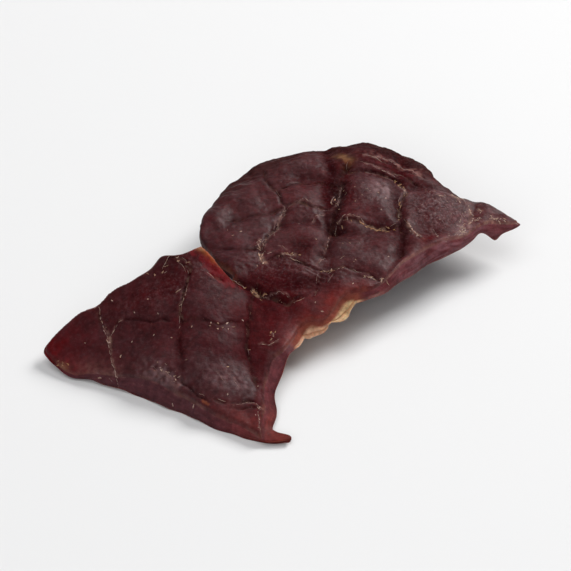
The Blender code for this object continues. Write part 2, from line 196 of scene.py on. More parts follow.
# Creases of the top face: depth, half-width, how much pale thread lies in it, and its way, as x, y,
# x, y and so on. A depth below zero makes a ridge.
CREASES = [
    (0.07, 0.18, 0.25, -32.3, 26.5, -31.6, 23.3, -30.5, 20.1, -29.9, 17.0, -28.7, 13.6),
    (0.06, 0.18, 0.2, -30.0, 20.2, -29.3, 22.1, -27.7, 22.9),
    (0.2, 0.24, 0.0, -27.7, 22.9, -26.0, 22.9, -22.8, 22.1, -19.1, 21.5),
    (0.26, 0.26, 0.8, -18.5, 31.2, -17.0, 28.9, -17.2, 27.5, -17.9, 23.9, -18.2, 20.5),
    (0.07, 0.8, 0.0, -18.2, 20.5, -17.8, 15.9, -17.4, 12.2),
    (0.1, 0.3, 0.2, -18.6, 21.4, -15.5, 21.3, -12.7, 21.0, -9.8, 21.7, -7.3, 22.6),
    (0.14, 0.5, 0.2, -4.7, 31.3, -5.5, 28.9, -5.9, 26.8, -6.3, 21.4, -5.9, 15.9, -5.1, 10.4),
    (0.34, 0.26, 0.1, -18.0, 11.9, -17.0, 10.4, -14.7, 8.4, -12.6, 6.6),
    (0.26, 0.26, 0.3, -12.4, 7.3, -8.6, 6.5, -4.9, 7.0),
    (0.34, 0.2, 0.1, -8.8, 5.4, -6.2, 5.8, -4.2, 6.2),
    (-0.3, 0.35, 0.3, -24.6, 14.2, -21.2, 13.0, -18.7, 11.3, -17.6, 10.2),
    (0.16, 0.2, 0.7, -21.3, 30.7, -20.1, 32.0, -18.4, 31.7, -17.2, 31.0, -16.7, 29.0),
    (0.55, 0.55, 0.9, 0.2, 48.6, -1.9, 43.8, -4.3, 39.4, -3.9, 35.6),
    (0.36, 0.36, 0.6, 0.2, 48.6, 1.9, 50.0, 4.3, 49.6, 7.1, 49.1),
    (0.8, 1.1, 0.2, 11.4, 61.0, 10.5, 56.8, 9.1, 48.6, 8.5, 44.2, 7.1, 36.2),
    (0.42, 0.4, 0.5, 9.6, 46.2, 14.0, 44.8, 16.7, 44.1, 18.4, 44.4, 20.3, 45.8),
    (0.4, 0.4, 0.5, 11.1, 58.3, 17.4, 57.9, 20.2, 56.6, 21.5, 54.8, 20.5, 50.7, 20.3, 46.9),
    (-0.36, 0.4, 1.0, 21.2, 46.6, 22.1, 44.6, 24.2, 41.0),
    (0.4, 0.7, 0.1, 20.3, 46.4, 20.9, 40.7, 20.5, 36.4),
    (-0.16, 0.3, 0.5, 31.0, 55.0, 32.4, 52.7, 32.7, 49.7, 31.5, 46.5, 29.7, 43.6),
    (0.15, 0.45, 0.3, -3.9, 35.6, -1.2, 36.6, 1.9, 35.6, 7.6, 33.1),
    (0.3, 0.24, 0.9, 7.6, 33.1, 9.1, 34.1, 12.6, 33.6, 15.3, 32.4, 17.2, 31.6),
    (0.7, 0.6, 0.4, -9.0, 31.0, -5.1, 29.6, -2.4, 28.5, 1.4, 27.7, 3.6, 28.3),
    (0.12, 0.22, 0.9, 5.8, 33.4, 5.4, 29.9, 5.1, 28.7),
    (0.16, 0.24, 0.5, -13.6, 29.6, -12.0, 28.7, -10.4, 28.5),
    (0.14, 0.2, 0.3, 12.5, 63.0, 16.5, 61.6, 21.0, 60.4, 25.0, 57.6),
    (0.16, 0.22, 0.3, 13.5, 60.4, 17.5, 59.8, 21.5, 58.2, 24.5, 55.4),
    (0.34, 0.45, 0.3, 0.2, 48.6, -1.0, 52.2, -2.9, 55.6, -4.2, 60.2),
    (0.26, 0.36, 0.2, -12.6, 46.2, -8.4, 46.0, -4.4, 47.4, 0.2, 48.6),
    (0.24, 0.34, 0.2, -1.4, 53.6, 2.2, 55.4, 6.0, 55.6, 9.8, 54.6),
    (0.12, 0.5, 0.1, -11.8, 39.0, -8.0, 38.4, -4.3, 39.4),
]

# Dots of sinew: place and length
DOTS = [
    (-30.4, 19.8, 0.55), (-34.6, 20.6, 0.3), (-26.4, 19.4, 0.35), (-22.6, 20.0, 0.3), (-19.5, 19.1, 0.38),
    (-26.0, 23.9, 0.3), (-21.9, 23.0, 0.3), (-12.7, 21.1, 0.38), (-9.9, 21.7, 0.6), (-11.5, 20.2, 0.4),
    (-9.7, 20.6, 0.35), (-7.2, 22.7, 0.38), (-16.0, 20.4, 0.35), (-23.7, 25.6, 0.35), (-21.2, 13.0, 0.38),
    (-18.7, 11.3, 0.40), (-19.2, 8.8, 0.38), (-15.6, 7.4, 0.45), (-13.4, 4.2, 0.3), (-29.0, 13.8, 0.5),
    (-31.8, 14.9, 0.45), (-35.0, 16.0, 0.3), (-30.0, 26.9, 0.45), (-33.0, 26.5, 0.4), (-9.7, 7.9, 0.35),
    (-4.9, 3.9, 0.3), (32.1, 45.8, 0.4), (29.9, 54.0, 0.4), (35.0, 50.6, 0.35), (27.1, 43.2, 0.35),
    (18.1, 51.3, 0.4), (17.2, 47.9, 0.35), (5.6, 40.3, 0.3), (2.6, 45.5, 0.3), (18.3, 36.8, 0.35),
    (34.5, 48.6, 0.3), (-3.7, 35.4, 0.6), (8.3, 34.0, 0.4), (9.5, 34.0, 0.4), (15.2, 32.5, 0.5),
    (17.0, 31.8, 0.6), (12.0, 30.9, 0.4), (5.4, 27.3, 0.35), (6.6, 25.7, 0.5), (-14.6, 34.2, 0.7),
]

# The fat seam on the cut wall: where it runs, and its scallops, each with its middle and half-width,
# measured along the seam, and how full it is
SEAM_START = (0.9, 19.8)
SEAM_END = (14.2, 29.8)
SCALLOPS = [(2.0, 1.7, 0.45), (6.3, 2.7, 1.05), (12.8, 3.0, 1.0)]
FAT_FOLD = 0.66  # how far down the wall a fold divides the fat
FAT_FOLD_WIDTH = 0.07
SCALLOP_REACH = (0.38, 0.12)  # how far they stand out below, and how far the wall draws in between

# Colours of the meat, as linear red, green and blue
PLUM = (0.047, 0.0080, 0.0100)
PLUM_RIGHT = (0.058, 0.0115, 0.0130)
# dark red of the meat, also painted as shade in the valley between the lobes and in hollows
VALLEY_RED_AND_SHADE = (0.048, 0.0045, 0.0060)
# dark red painted as shade on the valley floor, in a crease below cell A and in the groove between cells A
# and B
SHADED_VALLEY_RED = (0.044, 0.0048, 0.0058)
SKIN_RED = (0.078, 0.0085, 0.0100)
DEEP_RED = (0.060, 0.0032, 0.0048)
TIP_RED = (0.082, 0.0020, 0.0035)
RIM_RED = (0.090, 0.0160, 0.0175)
FLAP_RED = (0.120, 0.0065, 0.0100)
AMBER = (0.270, 0.062, 0.016)
RUST = (0.140, 0.040, 0.012)
TAN = (0.330, 0.180, 0.085)
GLOW = (0.210, 0.028, 0.022)
SEAM_BROWN = (0.210, 0.056, 0.036)
# grey bloom of the dried surface, also painted as sheen where the meat catches the light
BLOOM_AND_SHEEN = (0.170, 0.092, 0.100)
# pale crumbs of the dried surface, also painted as highlights on the sheens and on cell B
CRUMB_AND_HIGHLIGHT = (0.230, 0.135, 0.140)
# brown of the back slope, darkened as painted shadow
BACK_BROWN_AND_SHADOW = (0.038, 0.0145, 0.0140)
PALE = (0.360, 0.200, 0.150)
EDGE_TAN = (0.150, 0.060, 0.045)
# pale pink of the cut edges, painted mostly as highlights along rims and ridges
PINK_EDGE_AND_HIGHLIGHT = (0.260, 0.120, 0.105)
WALL_PLUM = (0.076, 0.0250, 0.0300)
WALL_RED = (0.112, 0.0260, 0.0300)
UNDER_PLUM = (0.052, 0.0150, 0.0160)
FAT_LIGHT = (0.540, 0.320, 0.205)
FAT_YELLOW = (0.520, 0.350, 0.185)
# painted highlight along the fat's lower rim
FAT_RIM_HIGHLIGHT = (0.740, 0.500, 0.350)
# darker fat: its streaks, and painted shade in its fold
FAT_DARK_AND_FOLD_SHADE = (0.460, 0.180, 0.080)
SPECK = (0.420, 0.260, 0.190)
SINEW_GOLD = (0.400, 0.190, 0.070)
SINEW_CREAM = (0.520, 0.340, 0.270)
SINEW_ROSE = (0.175, 0.088, 0.082)
STRAND_ROSE = (0.220, 0.120, 0.112)
STRAND_CREAM = (0.430, 0.270, 0.200)
# grey painted sheen over the glossy places
SHEEN_HAZE = (0.135, 0.068, 0.074)
WALL_LILAC = (0.150, 0.066, 0.076)
TOE_RED = (0.190, 0.034, 0.027)
SHADE = (0.0, 0.0, 0.0)
PAINTED = ("paint", "rough", "scuff", "gloss", "crumbs")  # what is painted on each point

# Spots of colour on the top face, painted in this order: colour, strength, place, half-widths, turn in
# degrees, and the noise that breaks it up, if any
TOP_SPOTS = [
    (RIM_RED, 0.9, -7.0, 4.0, 5.0, 2.0, -28), (RIM_RED, 0.6, -4.4, 8.0, 6.0, 1.0, 90),
    (DEEP_RED, 0.85, -22.0, 27.6, 8.0, 3.0, 20), (DEEP_RED, 0.45, -18.3, 17.5, 9.0, 1.5, 88),
    (DEEP_RED, 0.35, -17.0, 21.3, 12.0, 1.1, -2), (TIP_RED, 1.1, -40.6, 21.2, 4.8, 4.4, "blotched"),
    (RIM_RED, 0.75, -34.5, 17.2, 6.0, 1.8, -15), (FLAP_RED, 0.6, -37.0, 18.0, 2.6, 1.1, -35),
    (DEEP_RED, 0.7, -34.0, 25.4, 4.0, 1.5, 25, "blotched"),
    (TAN, 0.35, -38.6, 18.2, 0.9, 0.5, -30, "blotched"), (RIM_RED, 0.7, 25.2, 42.2, 3.4, 1.9, 50),
    (RIM_RED, 0.5, 37.5, 50.0, 4.5, 1.6, 8),
    (DEEP_RED, 0.6, 20.0, 59.5, 4.0, 1.6, -25), (DEEP_RED, 0.8, 21.8, 59.2, 1.8, 0.8, -30),
    # painted shade in the crease below cell A, and on the next line in the groove between cells A and B
    (SHADED_VALLEY_RED, 0.9, 3.0, 39.2, 2.8, 1.7, -20), (SHADE, 0.5, 3.0, 39.2, 2.6, 1.4, -20),
    (SHADED_VALLEY_RED, 0.5, 11.6, 53.5, 1.6, 3.5), (SKIN_RED, 0.55, -1.4, 24.4, 2.8, 2.8),
    # the pale pink edge on this line, on the front rim near the heel, is a painted highlight
    (RIM_RED, 0.7, 32.6, 48.3, 3.2, 3.0), (PINK_EDGE_AND_HIGHLIGHT, 0.28, -33.0, 16.5, 5.0, 1.1, -15, "mottled"),
    (TOE_RED, 0.3, -6.0, 2.6, 5.0, 2.0, -28), (SHADE, 0.16, -21.0, 28.6, 8.0, 3.5, 20),
    (RUST, 0.75, 11.3, 60.5, 1.1, 1.3, 20, "mottled"), (TAN, 0.6, 10.4, 62.2, 1.8, 0.7, -30, "mottled"),
]

# More spots of the top face, each row with its strength, place, half-widths and turn
VALLEY_FLOOR = [(1.2, -3.9, 20.0, 7.0, 2.6, 86), (1.0, -4.6, 25.0, 4.5, 1.8, 80)]
# the bloom of the dried surface, with painted sheens on cell B and at the front of the left lobe
BLOOM_AND_SHEEN_SPOTS = [
    (0.05, 27.0, 49.2, 5.2, 4.6), (1.0, 18.0, 53.3, 2.8, 2.6), (0.25, -6.5, 42.0, 6.0, 5.0, 60),
    (0.45, 6.5, 44.0, 1.4, 1.8), (0.95, -20.6, 12.6, 4.6, 1.6, -33), (0.75, -8.6, 10.4, 5.0, 2.4, -18),
    (0.25, -11.5, 24.0, 3.6, 3.0),
]
SHEENS = [(0.9, -20.6, 12.6, 4.6, 1.6, -33), (0.5, -8.6, 10.4, 5.0, 2.6, -18)]
# painted highlights along the ridge
RIDGE_HIGHLIGHTS = [
    (0.7, 31.5, 53.6, 5.0, 0.35, -17), (0.9, 19.6, 61.7, 5.0, 0.6, -14), (0.9, 23.3, 59.7, 2.0, 0.6, -52),
]
CRUMBLY = [
    (0.5, 27.5, 49.2, 5.0, 4.6), (0.8, 26.9, 48.3, 2.8, 2.0), (0.7, 28.0, 52.0, 2.4, 1.5),
    (0.5, 30.4, 49.0, 2.0, 2.2), (0.25, 17.0, 52.8, 4.5, 4.0), (0.25, 0.0, 34.0, 8.0, 2.5, -10),
    (0.35, 33.0, 48.5, 4.0, 2.0, 20), (0.25, -20.0, 27.5, 9.0, 3.0, 20),
]
DULLS = [
    (1.3, -4.0, 21.5, 9.5, 3.4, 86), (1.0, -1.5, 30.0, 8.0, 4.0, -15), (0.4, -41.0, 21.5, 7.0, 6.0),
    (1.0, -4.2, 6.0, 8.0, 1.1, 91), (0.7, -12.2, 31.0, 4.5, 2.6, -38), (0.45, -10.5, 23.5, 4.5, 4.5),
    (0.9, 17.0, 61.0, 10.0, 4.0, -20), (1.2, 9.8, 54.0, 10.0, 2.0, 96), (0.35, -6.3, 42.0, 6.0, 6.0),
    (0.45, 27.0, 48.5, 5.5, 5.0), (0.5, -22.0, 27.6, 8.0, 3.0, 20), (0.8, 14.2, 47.8, 3.6, 2.0),
    (0.5, 11.6, 53.5, 1.6, 3.5), (0.8, 18.5, 64.5, 8.0, 3.5, -20), (0.65, -10.8, 16.8, 5.0, 2.7, -5),
    (0.95, 3.9, 39.0, 3.5, 2.8), (0.7, 5.0, 53.0, 4.0, 3.0), (0.5, 18.5, 40.0, 3.0, 4.0),
    (0.7, 34.2, 47.4, 3.2, 2.4, 15), (0.5, 8.0, 27.8, 2.0, 2.0),
]
RIBBED = [(0.08, -9.5, 10.8, 5.0, 2.6, -15), (0.10, -21.0, 12.9, 4.6, 1.3, -33)]
ROUGHENED = [
    (1.0, 1.0, 32.5, 9.0, 3.5, -8), (0.3, 27.5, 49.0, 5.5, 5.0), (0.6, 7.0, 50.0, 6.0, 2.5, 10),
    (0.6, 22.0, 57.0, 6.0, 2.0, -30), (0.4, -22.0, 28.0, 8.0, 2.5, 20),
]
FOLDED = [(1.0, 6.0, 32.4, 9.0, 2.4, -18), (0.6, -2.0, 26.0, 4.0, 3.0)]

# Sinew that lies on the meat. Its threads, slivers and strands get their sizes by a seeded draw.
FLECK_SEED = 29
DOT_SHARE = 0.5  # a dot's width for each length
THREAD_LENGTH = (0.7, 3.0)
THREAD_GAP = (0.2, 1.3)
THREAD_WIDTH = (0.05, 0.11)
THREAD_TONE = (0.8, 1.9)
FLECK_WIDTH = (0.10, 0.25)
SLIM_SHARE = 0.5  # of the slivers that are as thin as threads
LUMPS = (0.65, 1.25)  # how the width varies along each
STRAND_SIDES = 6
STRAND_FLATNESS = 0.42  # a strand's thickness for each width

# Strands of sinew: width, tone (0 golden, 1 cream, 2 rose) and way, as x, y, x, y and so on
STRANDS = [
    (0.4, 1.8, 0.0, 48.8, -1.0, 46.7, -1.9, 44.9), (0.32, 1.7, -0.8, 44.9, -1.5, 43.4, -1.9, 41.6),
    (0.28, 1.8, -2.4, 43.0, -2.9, 42.0, -3.4, 40.9), (0.36, 1.3, -4.3, 41.5, -4.7, 40.1, -4.1, 38.7),
    (0.24, 1.6, -4.1, 38.7, -3.6, 39.6, -4.0, 40.6), (0.44, 0.8, -4.6, 37.5, -4.1, 36.3, -3.6, 35.1),
    (0.22, 1.6, -1.0, 39.0, -0.2, 38.5, 0.6, 37.9), (0.26, 0.9, -0.5, 37.0, 0.9, 36.7, 2.3, 36.7),
    (0.2, 1.4, -3.0, 37.4, -1.9, 37.7), (0.3, 1.8, 1.9, 50.0, 3.6, 50.5, 4.8, 49.9),
    (0.24, 1.9, 5.6, 49.3, 6.4, 48.8, 8.3, 48.6),
    (0.34, 1.7, 4.8, 45.9, 5.6, 46.9, 6.4, 47.6, 7.1, 47.7),
    (0.24, 1.4, 8.9, 52.6, 8.5, 51.6, 8.4, 50.5), (0.24, 1.9, 10.2, 55.1, 9.8, 52.6, 8.9, 49.3),
    (0.28, 1.5, 9.7, 45.4, 10.9, 46.4, 11.5, 45.2), (0.22, 1.2, 11.1, 46.4, 12.9, 46.2, 14.1, 45.1),
    (0.38, 0.4, 15.0, 44.4, 16.2, 44.1, 17.4, 44.4), (0.24, 1.8, 8.0, 42.5, 7.7, 40.3, 7.4, 37.9),
    (0.34, 1.6, 6.0, 35.2, 6.9, 36.4), (0.22, 1.6, 8.5, 32.9, 7.4, 31.3),
    (0.38, 0.5, -5.6, 29.9, -5.0, 29.4, -4.4, 28.8), (0.26, 0.2, -5.3, 28.8, -4.4, 28.8),
    (0.26, 1.6, -3.5, 29.0, -2.6, 28.4), (0.2, 1.8, -2.2, 28.8, -0.8, 29.1, 0.9, 28.5),
    (0.2, 1.3, -1.9, 21.8, -1.9, 20.8, -2.4, 19.9), (0.2, 1.4, -3.9, 18.9, -2.6, 19.1, -0.9, 20.3),
    (0.24, 0.9, -18.9, 26.5, -17.7, 26.8), (0.22, 1.2, -18.2, 23.9, -17.2, 25.4, -16.9, 27.1),
    (0.2, 1.3, -32.0, 24.6, -31.2, 22.2, -30.5, 20.1, -30.1, 18.0, -29.4, 15.6, -28.7, 13.7),
    (0.15, 1.4, -30.2, 20.6, -29.6, 21.7, -28.6, 22.7, -27.7, 22.9),
    (0.26, 0.9, -30.8, 20.3, -30.3, 19.8), (0.22, 1.5, -8.9, 6.1, -7.4, 6.5, -5.3, 6.6, -3.9, 5.7),
    (0.16, 1.8, -4.0, 5.3, -4.5, 4.0, -4.3, 2.4, -3.9, 0.8),
    # the three strands from here, on the sheen at the left lobe's front, are rose sinew that also paints its
    # streaked highlight
    (0.32, 1.6, -21.8, 13.4, -20.5, 12.7, -19.4, 11.9), (0.26, 1.7, -19.6, 11.4, -18.4, 10.6),
    (0.2, 1.9, -23.0, 14.1, -21.8, 12.9, -20.9, 12.0), (0.16, 1.9, -9.6, 12.0, -8.6, 10.6, -7.9, 9.2),
    (0.16, 1.9, -11.6, 12.2, -10.7, 10.9, -10.2, 9.9),
    (0.5, 1.9, 14.0, 61.9, 16.2, 62.0, 18.8, 62.2, 22.2, 60.8, 24.2, 58.5),
    (0.34, 1.8, 14.6, 60.1, 15.8, 59.8, 18.5, 58.8, 20.0, 57.9),
    (0.22, 1.8, 14.6, 58.6, 16.2, 58.2, 19.5, 57.0),
    (0.62, 1.1, 33.1, 51.4, 33.6, 49.8, 33.5, 48.4, 32.8, 47.0),
    (0.24, 1.6, 32.0, 47.6, 31.5, 46.5, 30.8, 45.2), (0.36, 0.9, 20.4, 56.0, 21.2, 54.8, 21.5, 53.4),
    (0.2, 0.4, 21.5, 53.4, 21.4, 52.2), (0.85, 1.3, 22.0, 44.9, 22.9, 43.2, 24.0, 41.3),
    (0.3, 1.6, 26.3, 44.6, 26.9, 43.9, 27.2, 42.9), (0.4, 1.1, 20.4, 48.4, 20.5, 47.3),
    (0.6, 0.9, 29.9, 55.4, 30.3, 54.4), (0.56, 0.9, 30.2, 54.2, 31.4, 53.6),
    (0.34, 1.0, 34.7, 51.6, 35.2, 50.9), (0.36, 1.2, 31.0, 45.5, 31.8, 45.1, 32.7, 45.6),
    (0.3, 1.4, 30.5, 46.8, 31.4, 46.2, 32.5, 46.5), (0.34, 1.0, 27.6, 52.8, 28.6, 52.6),
    (0.5, 1.6, -32.4, 15.4, -31.7, 15.1, -31.0, 14.3),
    (0.44, 1.6, -29.2, 15.0, -28.7, 14.5, -28.1, 14.4), (0.3, 1.7, -30.4, 15.0, -29.8, 14.3),
]

# Clusters of slivers: place, spread along and across, turn in degrees, how many, how long, tone
CLUSTERS = [
    (-5.0, 29.3, 1.4, 0.7, -40, 14, 0.9, 0.2), (-2.9, 20.5, 1.6, 0.7, 50, 4, 0.5, 0.4),
    (17.0, 44.3, 1.7, 0.5, 0, 18, 0.7, 0.2), (13.0, 44.9, 2.0, 0.4, -15, 6, 0.8, 0.3),
    (0.6, 37.0, 2.4, 0.5, -10, 6, 0.6, 0.3), (-3.9, 37.6, 2.0, 0.8, 80, 6, 0.5, 0.9),
    (-3.0, 41.4, 2.2, 0.5, 66, 6, 0.6, 1.6), (-0.6, 46.4, 1.6, 0.5, 62, 4, 0.6, 1.6),
    (9.4, 49.6, 3.6, 0.6, 96, 7, 0.55, 0.6), (20.6, 56.4, 1.4, 0.5, -40, 6, 0.5, 0.4),
    (20.4, 49.8, 2.6, 0.4, 90, 7, 0.6, 0.3), (22.4, 43.8, 1.8, 0.4, -62, 6, 0.5, 1.4),
    (31.6, 48.0, 2.6, 0.6, 84, 12, 0.4, 1.2), (28.5, 53.3, 4.0, 0.8, -10, 8, 0.4, 1.0),
    (30.6, 54.2, 0.8, 0.5, 10, 8, 0.7, 0.7), (37.5, 49.8, 3.4, 0.35, 14, 18, 0.6, 1.1),
    (30.8, 44.6, 1.8, 0.5, 40, 16, 0.5, 1.4), (8.0, 33.8, 1.6, 0.4, 0, 8, 0.5, 0.5),
    (15.8, 32.3, 1.8, 0.3, -10, 9, 0.4, 0.8), (-11.0, 21.0, 2.5, 0.6, 5, 4, 0.35, 0.8),
    (-20.0, 19.0, 9.0, 5.0, 0, 5, 0.35, 0.6), (-38.8, 18.5, 1.0, 0.3, -25, 6, 0.5, 0.2),
    (-19.5, 12.4, 3.0, 0.5, -32, 5, 0.4, 1.0), (-4.4, 4.0, 2.8, 0.3, 90, 9, 0.4, 1.2),
    (-19.0, 30.8, 4.0, 0.8, 8, 9, 0.6, 0.7), (27.0, 49.0, 4.0, 3.5, 0, 14, 0.3, 1.5),
    (12.0, 36.5, 4.0, 3.0, 0, 7, 0.35, 0.7), (14.0, 52.0, 4.0, 3.5, 0, 9, 0.35, 0.8),
    (-6.0, 42.0, 3.0, 4.0, 60, 6, 0.4, 0.8),
]

# Values of the shaders, with their lengths in metres, and the meat's fibres
MEAT_SHADER = {"Subsurface Weight": 0.35, "Subsurface Radius": (1.0, 0.28, 0.18), "Subsurface Scale": 0.0007}
SINEW_SHADER = {
    "Roughness": 0.5,
    "Specular IOR Level": 0.2,
    "Subsurface Weight": 0.3,
    "Subsurface Radius": (1.0, 0.5, 0.25),
    "Subsurface Scale": 0.0003,
}
FLOOR_SHADER = {"Base Color": (0.80, 0.80, 0.805, 1), "Roughness": 0.75, "Specular IOR Level": 0.2}
FIBRE_STRETCH = (0.28, 1.0, 1.0)
FIBRE_TURN = 20.0
GLOSS = 0.225

# Floor, camera and lights, in metres
FLOOR_HEIGHT = -0.00003
FLOOR_HALF = 3.0
CAMERA_SENSOR = 36.0  # in millimetres
CAMERA_CLIP = (0.05, 20.0)
CAMERA_ELEVATION = 40.0
CAMERA_DISTANCE = 0.70
CAMERA_FIELD = 0.1001
CAMERA_TARGET = (0.0, -0.0039, 0.0082)
WORLD_COLOUR = (0.97, 0.985, 1.0, 1)
WORLD_STRENGTH = 0.14
# Name, place, size, power, colour and whether the meat mirrors it
LIGHTS = [
    ("key_light", (0.58, 0.55, 0.66), (0.50, 0.45), 10.2, (1.0, 0.995, 0.985), True),
    ("top_light", (-0.20, -0.10, 1.00), (1.00, 1.00), 4.0, (1.0, 1.0, 1.0), False),
    ("front_light", (-0.25, -0.90, 0.60), (1.00, 0.60), 4.0, (1.0, 1.0, 1.0), False),
]


def ease(x, start=0.0, end=1.0):
    """Eases from 0 at the start to 1 at the end."""
    x = clip((x - start) / (end - start))
    return x * x * (3 - 2 * x)


def clip(values, low=0.0, high=1.0):
    return np.minimum(np.maximum(values, low), high)


def unit(rows):
    """Each row as a direction of length one."""
    return rows / np.maximum(np.linalg.norm(rows, axis=1), 1e-12)[:, None]


def travelled(points):
    """How far along a line of points each one lies."""
    return np.concatenate([[0], np.cumsum(np.linalg.norm(np.diff(points, axis=0), axis=1))])


def softplus(x, width):
    """0 for a negative x and x for a positive one, rounded over the width."""
    return width * np.logaddexp(0, x / width)


def wander(points, length, offset=0.0):
    """Smooth seeded noise of about plus or minus one, whose waves are about length long."""
    flat = points.reshape(len(points), -1) / length
    if flat.shape[1] == 2:
        flat = np.column_stack([flat, np.zeros(len(flat))])
    shift = Vector((NOISE_SEED + offset, 2 * NOISE_SEED - offset, offset))
    return 2 * np.array([noise.noise(Vector(p) + shift) for p in flat.tolist()])


def wanders(points, length, *offsets):
    """A column of such noise for each offset."""
    return np.column_stack([wander(points, length, offset) for offset in offsets])


def curve(rows, corners, step, closed):
    """Samples a smooth curve through the rows about every step, with its corners kept."""
    rows, corners = np.array(rows, float), list(corners)
    if closed:
        rows = np.vstack([rows, rows[:1]])
        corners.append(corners[0])
    chord = np.linalg.norm(np.diff(rows[:, :2], axis=0), axis=1)
    knots = np.concatenate([[0], np.cumsum(chord)])
    slopes = np.diff(rows, axis=0) / chord[:, None]
    last = len(chord) - 1
    back = np.r_[last if closed else 0, : last + 1]
    on = np.r_[: last + 1, 0 if closed else last]
    before, after, span_before, span_after = slopes[back], slopes[on], chord[back, None], chord[on, None]
    smooth = (before * span_after + after * span_before) / (span_before + span_after)
    sharp = np.array(corners)[:, None]
    arriving, leaving = np.where(sharp, before, smooth), np.where(sharp, after, smooth)

    fine = np.unique(np.concatenate([np.linspace(0, knots[-1], 40 * len(knots)), knots]))
    k = clip(np.searchsorted(knots, fine, side="right") - 1, 0, last)
    span = chord[k][:, None]
    u = (fine - knots[k])[:, None] / span
    dense = (
        rows[k] * (2 * u**3 - 3 * u**2 + 1)
        + leaving[k] * span * (u**3 - 2 * u**2 + u)
        + rows[k + 1] * (3 * u**2 - 2 * u**3)
        + arriving[k + 1] * span * (u**3 - u**2)
    )
    length = travelled(dense[:, :2])
    turns = [knots[i] for i in range(1, last + 1) if corners[i]]
    stops = [0.0] + [length[np.searchsorted(fine, turn)] for turn in turns] + [length[-1]]
    places = []
    for start, end in zip(stops, stops[1:]):
        count = max(1, round((end - start) / step))
        places.extend(np.linspace(start, end, count + 1)[:-1])
    if not closed:
        places.append(stops[-1])
    return np.column_stack([np.interp(places, length, column) for column in dense.T])


def smooth_line(rows, step):
    """An open smooth curve without corners."""
    return curve(rows, [False] * len(rows), step, closed=False)


def way_line(way, step):
    """A smooth line along a way, which is given as x, y, x, y and so on."""
    return smooth_line(np.reshape(way, (-1, 2)), step)


def left_height(x, y):
    up = (x - HEEL_POINT[0]) * LEFT_RISE[0] + (y - HEEL_POINT[1]) * LEFT_RISE[1]
    at_tip = TIP_LEAN_SHARE + (1 - TIP_LEAN_SHARE) * ease(x, *TIP_LEAN_SPAN)
    at_right = 1 - (1 - RIGHT_LEAN_SHARE) * ease(x, *RIGHT_LEAN_SPAN)
    climb = LEFT_CLIMB * (x - HEEL_POINT[0])
    return HEEL_HEIGHT + climb + LEFT_LEAN * up * at_tip * at_right


def right_height(x, y):
    level = RIGHT_HEIGHT + RIGHT_SLOPE * (y - RIGHT_MIDDLE_Y)
    to_tip = TIP_FALL * softplus(x - TIP_FALL_X, TIP_FALL_ROUND)
    to_seam = SEAM_FALL * softplus(SEAM_FALL_Y - y, SEAM_FALL_ROUND)
    return level - to_tip - to_seam


def lobe_height(flat):
    """Height of the warped top face over the plan, in front of the ridge."""
    x, y = flat[:, 0], flat[:, 1]
    dx, dy = x - VALLEY_POINT[0], y - VALLEY_POINT[1]
    beyond = -dx * VALLEY_ALONG[1] + dy * VALLEY_ALONG[0]
    along = dx * VALLEY_ALONG[0] + dy * VALLEY_ALONG[1]
    narrow, wide = VALLEY_WIDTH
    width = narrow + (wide - narrow) * ease(along, *VALLEY_WIDENS)
    share = ease((beyond + 1) / width)
    return left_height(x, y) * (1 - share) + right_height(x, y) * share


def ridge_line(step):
    """The ridge as rows of x, y, radius and reach, with the directions that point away from it."""
    line = smooth_line(RIDGE, step)
    along = np.gradient(line[:, :2], axis=0)
    away = np.column_stack([-along[:, 1], along[:, 0]])
    return line, unit(away)


def outline():
    """The closed rim of the flat slice: x, y, stand-out, drop and whether the rim is cut square."""
    rows = [(x, y, side, drop, 1.0) for x, y, sharp, side, drop in FRONT_RIM]
    corners = [sharp for x, y, sharp, side, drop in FRONT_RIM]
    line, away = ridge_line(0.1)
    for x, y, radius, reach in reversed(RIDGE[1:]):
        nearest = np.linalg.norm(line[:, :2] - (x, y), axis=1).argmin()
        rows.append((x + away[nearest, 0] * reach, y + away[nearest, 1] * reach, 0.0, 1.5, 0.0))
        corners.append(False)
    rows += [(x, y, side, drop, 1.0) for x, y, sharp, side, drop in BACK_RIM]
    corners += [sharp for x, y, sharp, side, drop in BACK_RIM]
    return rows, corners


def inside(points, rim):
    """Whether each point lies inside the closed rim."""
    after = np.roll(rim, -1, axis=0)
    odd = np.zeros(len(points), bool)
    for (x0, y0), (x1, y1) in zip(rim, after):
        if y0 == y1:
            continue
        spans = (points[:, 1] > min(y0, y1)) & (points[:, 1] <= max(y0, y1))
        odd ^= spans & (points[:, 0] < x0 + (points[:, 1] - y0) * (x1 - x0) / (y1 - y0))
    return odd


def nearest_in(points, line):
    """Distance to the nearest point of a line of points, and that point's number."""
    tree = kdtree.KDTree(len(line))
    for number, (x, y) in enumerate(line.tolist()):
        tree.insert((x, y, 0), number)
    tree.balance()
    found = [tree.find((x, y, 0))[1:] for x, y in points.tolist()]
    return np.array([gap for _, gap in found]), np.array([number for number, _ in found])


def flat_mesh(rim, spacing):
    """Fills the rim with nearly even triangles. The rim's points come first."""
    low, high = rim.min(axis=0), rim.max(axis=0)
    rows = np.arange(low[1], high[1], spacing * math.sqrt(0.75))
    columns = np.arange(low[0], high[0], spacing)
    grid = np.array([(x + (k % 2) * spacing / 2, y) for k, y in enumerate(rows) for x in columns])
    grid = grid[inside(grid, rim)]
    grid = grid[nearest_in(grid, rim)[0] > 0.6 * spacing]
    points = np.vstack([rim, grid])
    found = delaunay_2d_cdt([Vector(p) for p in points.tolist()], [], [list(range(len(rim)))], 1, 1e-7)
    flat = np.array([tuple(p) for p in found[0]])
    return flat, np.array(found[2])


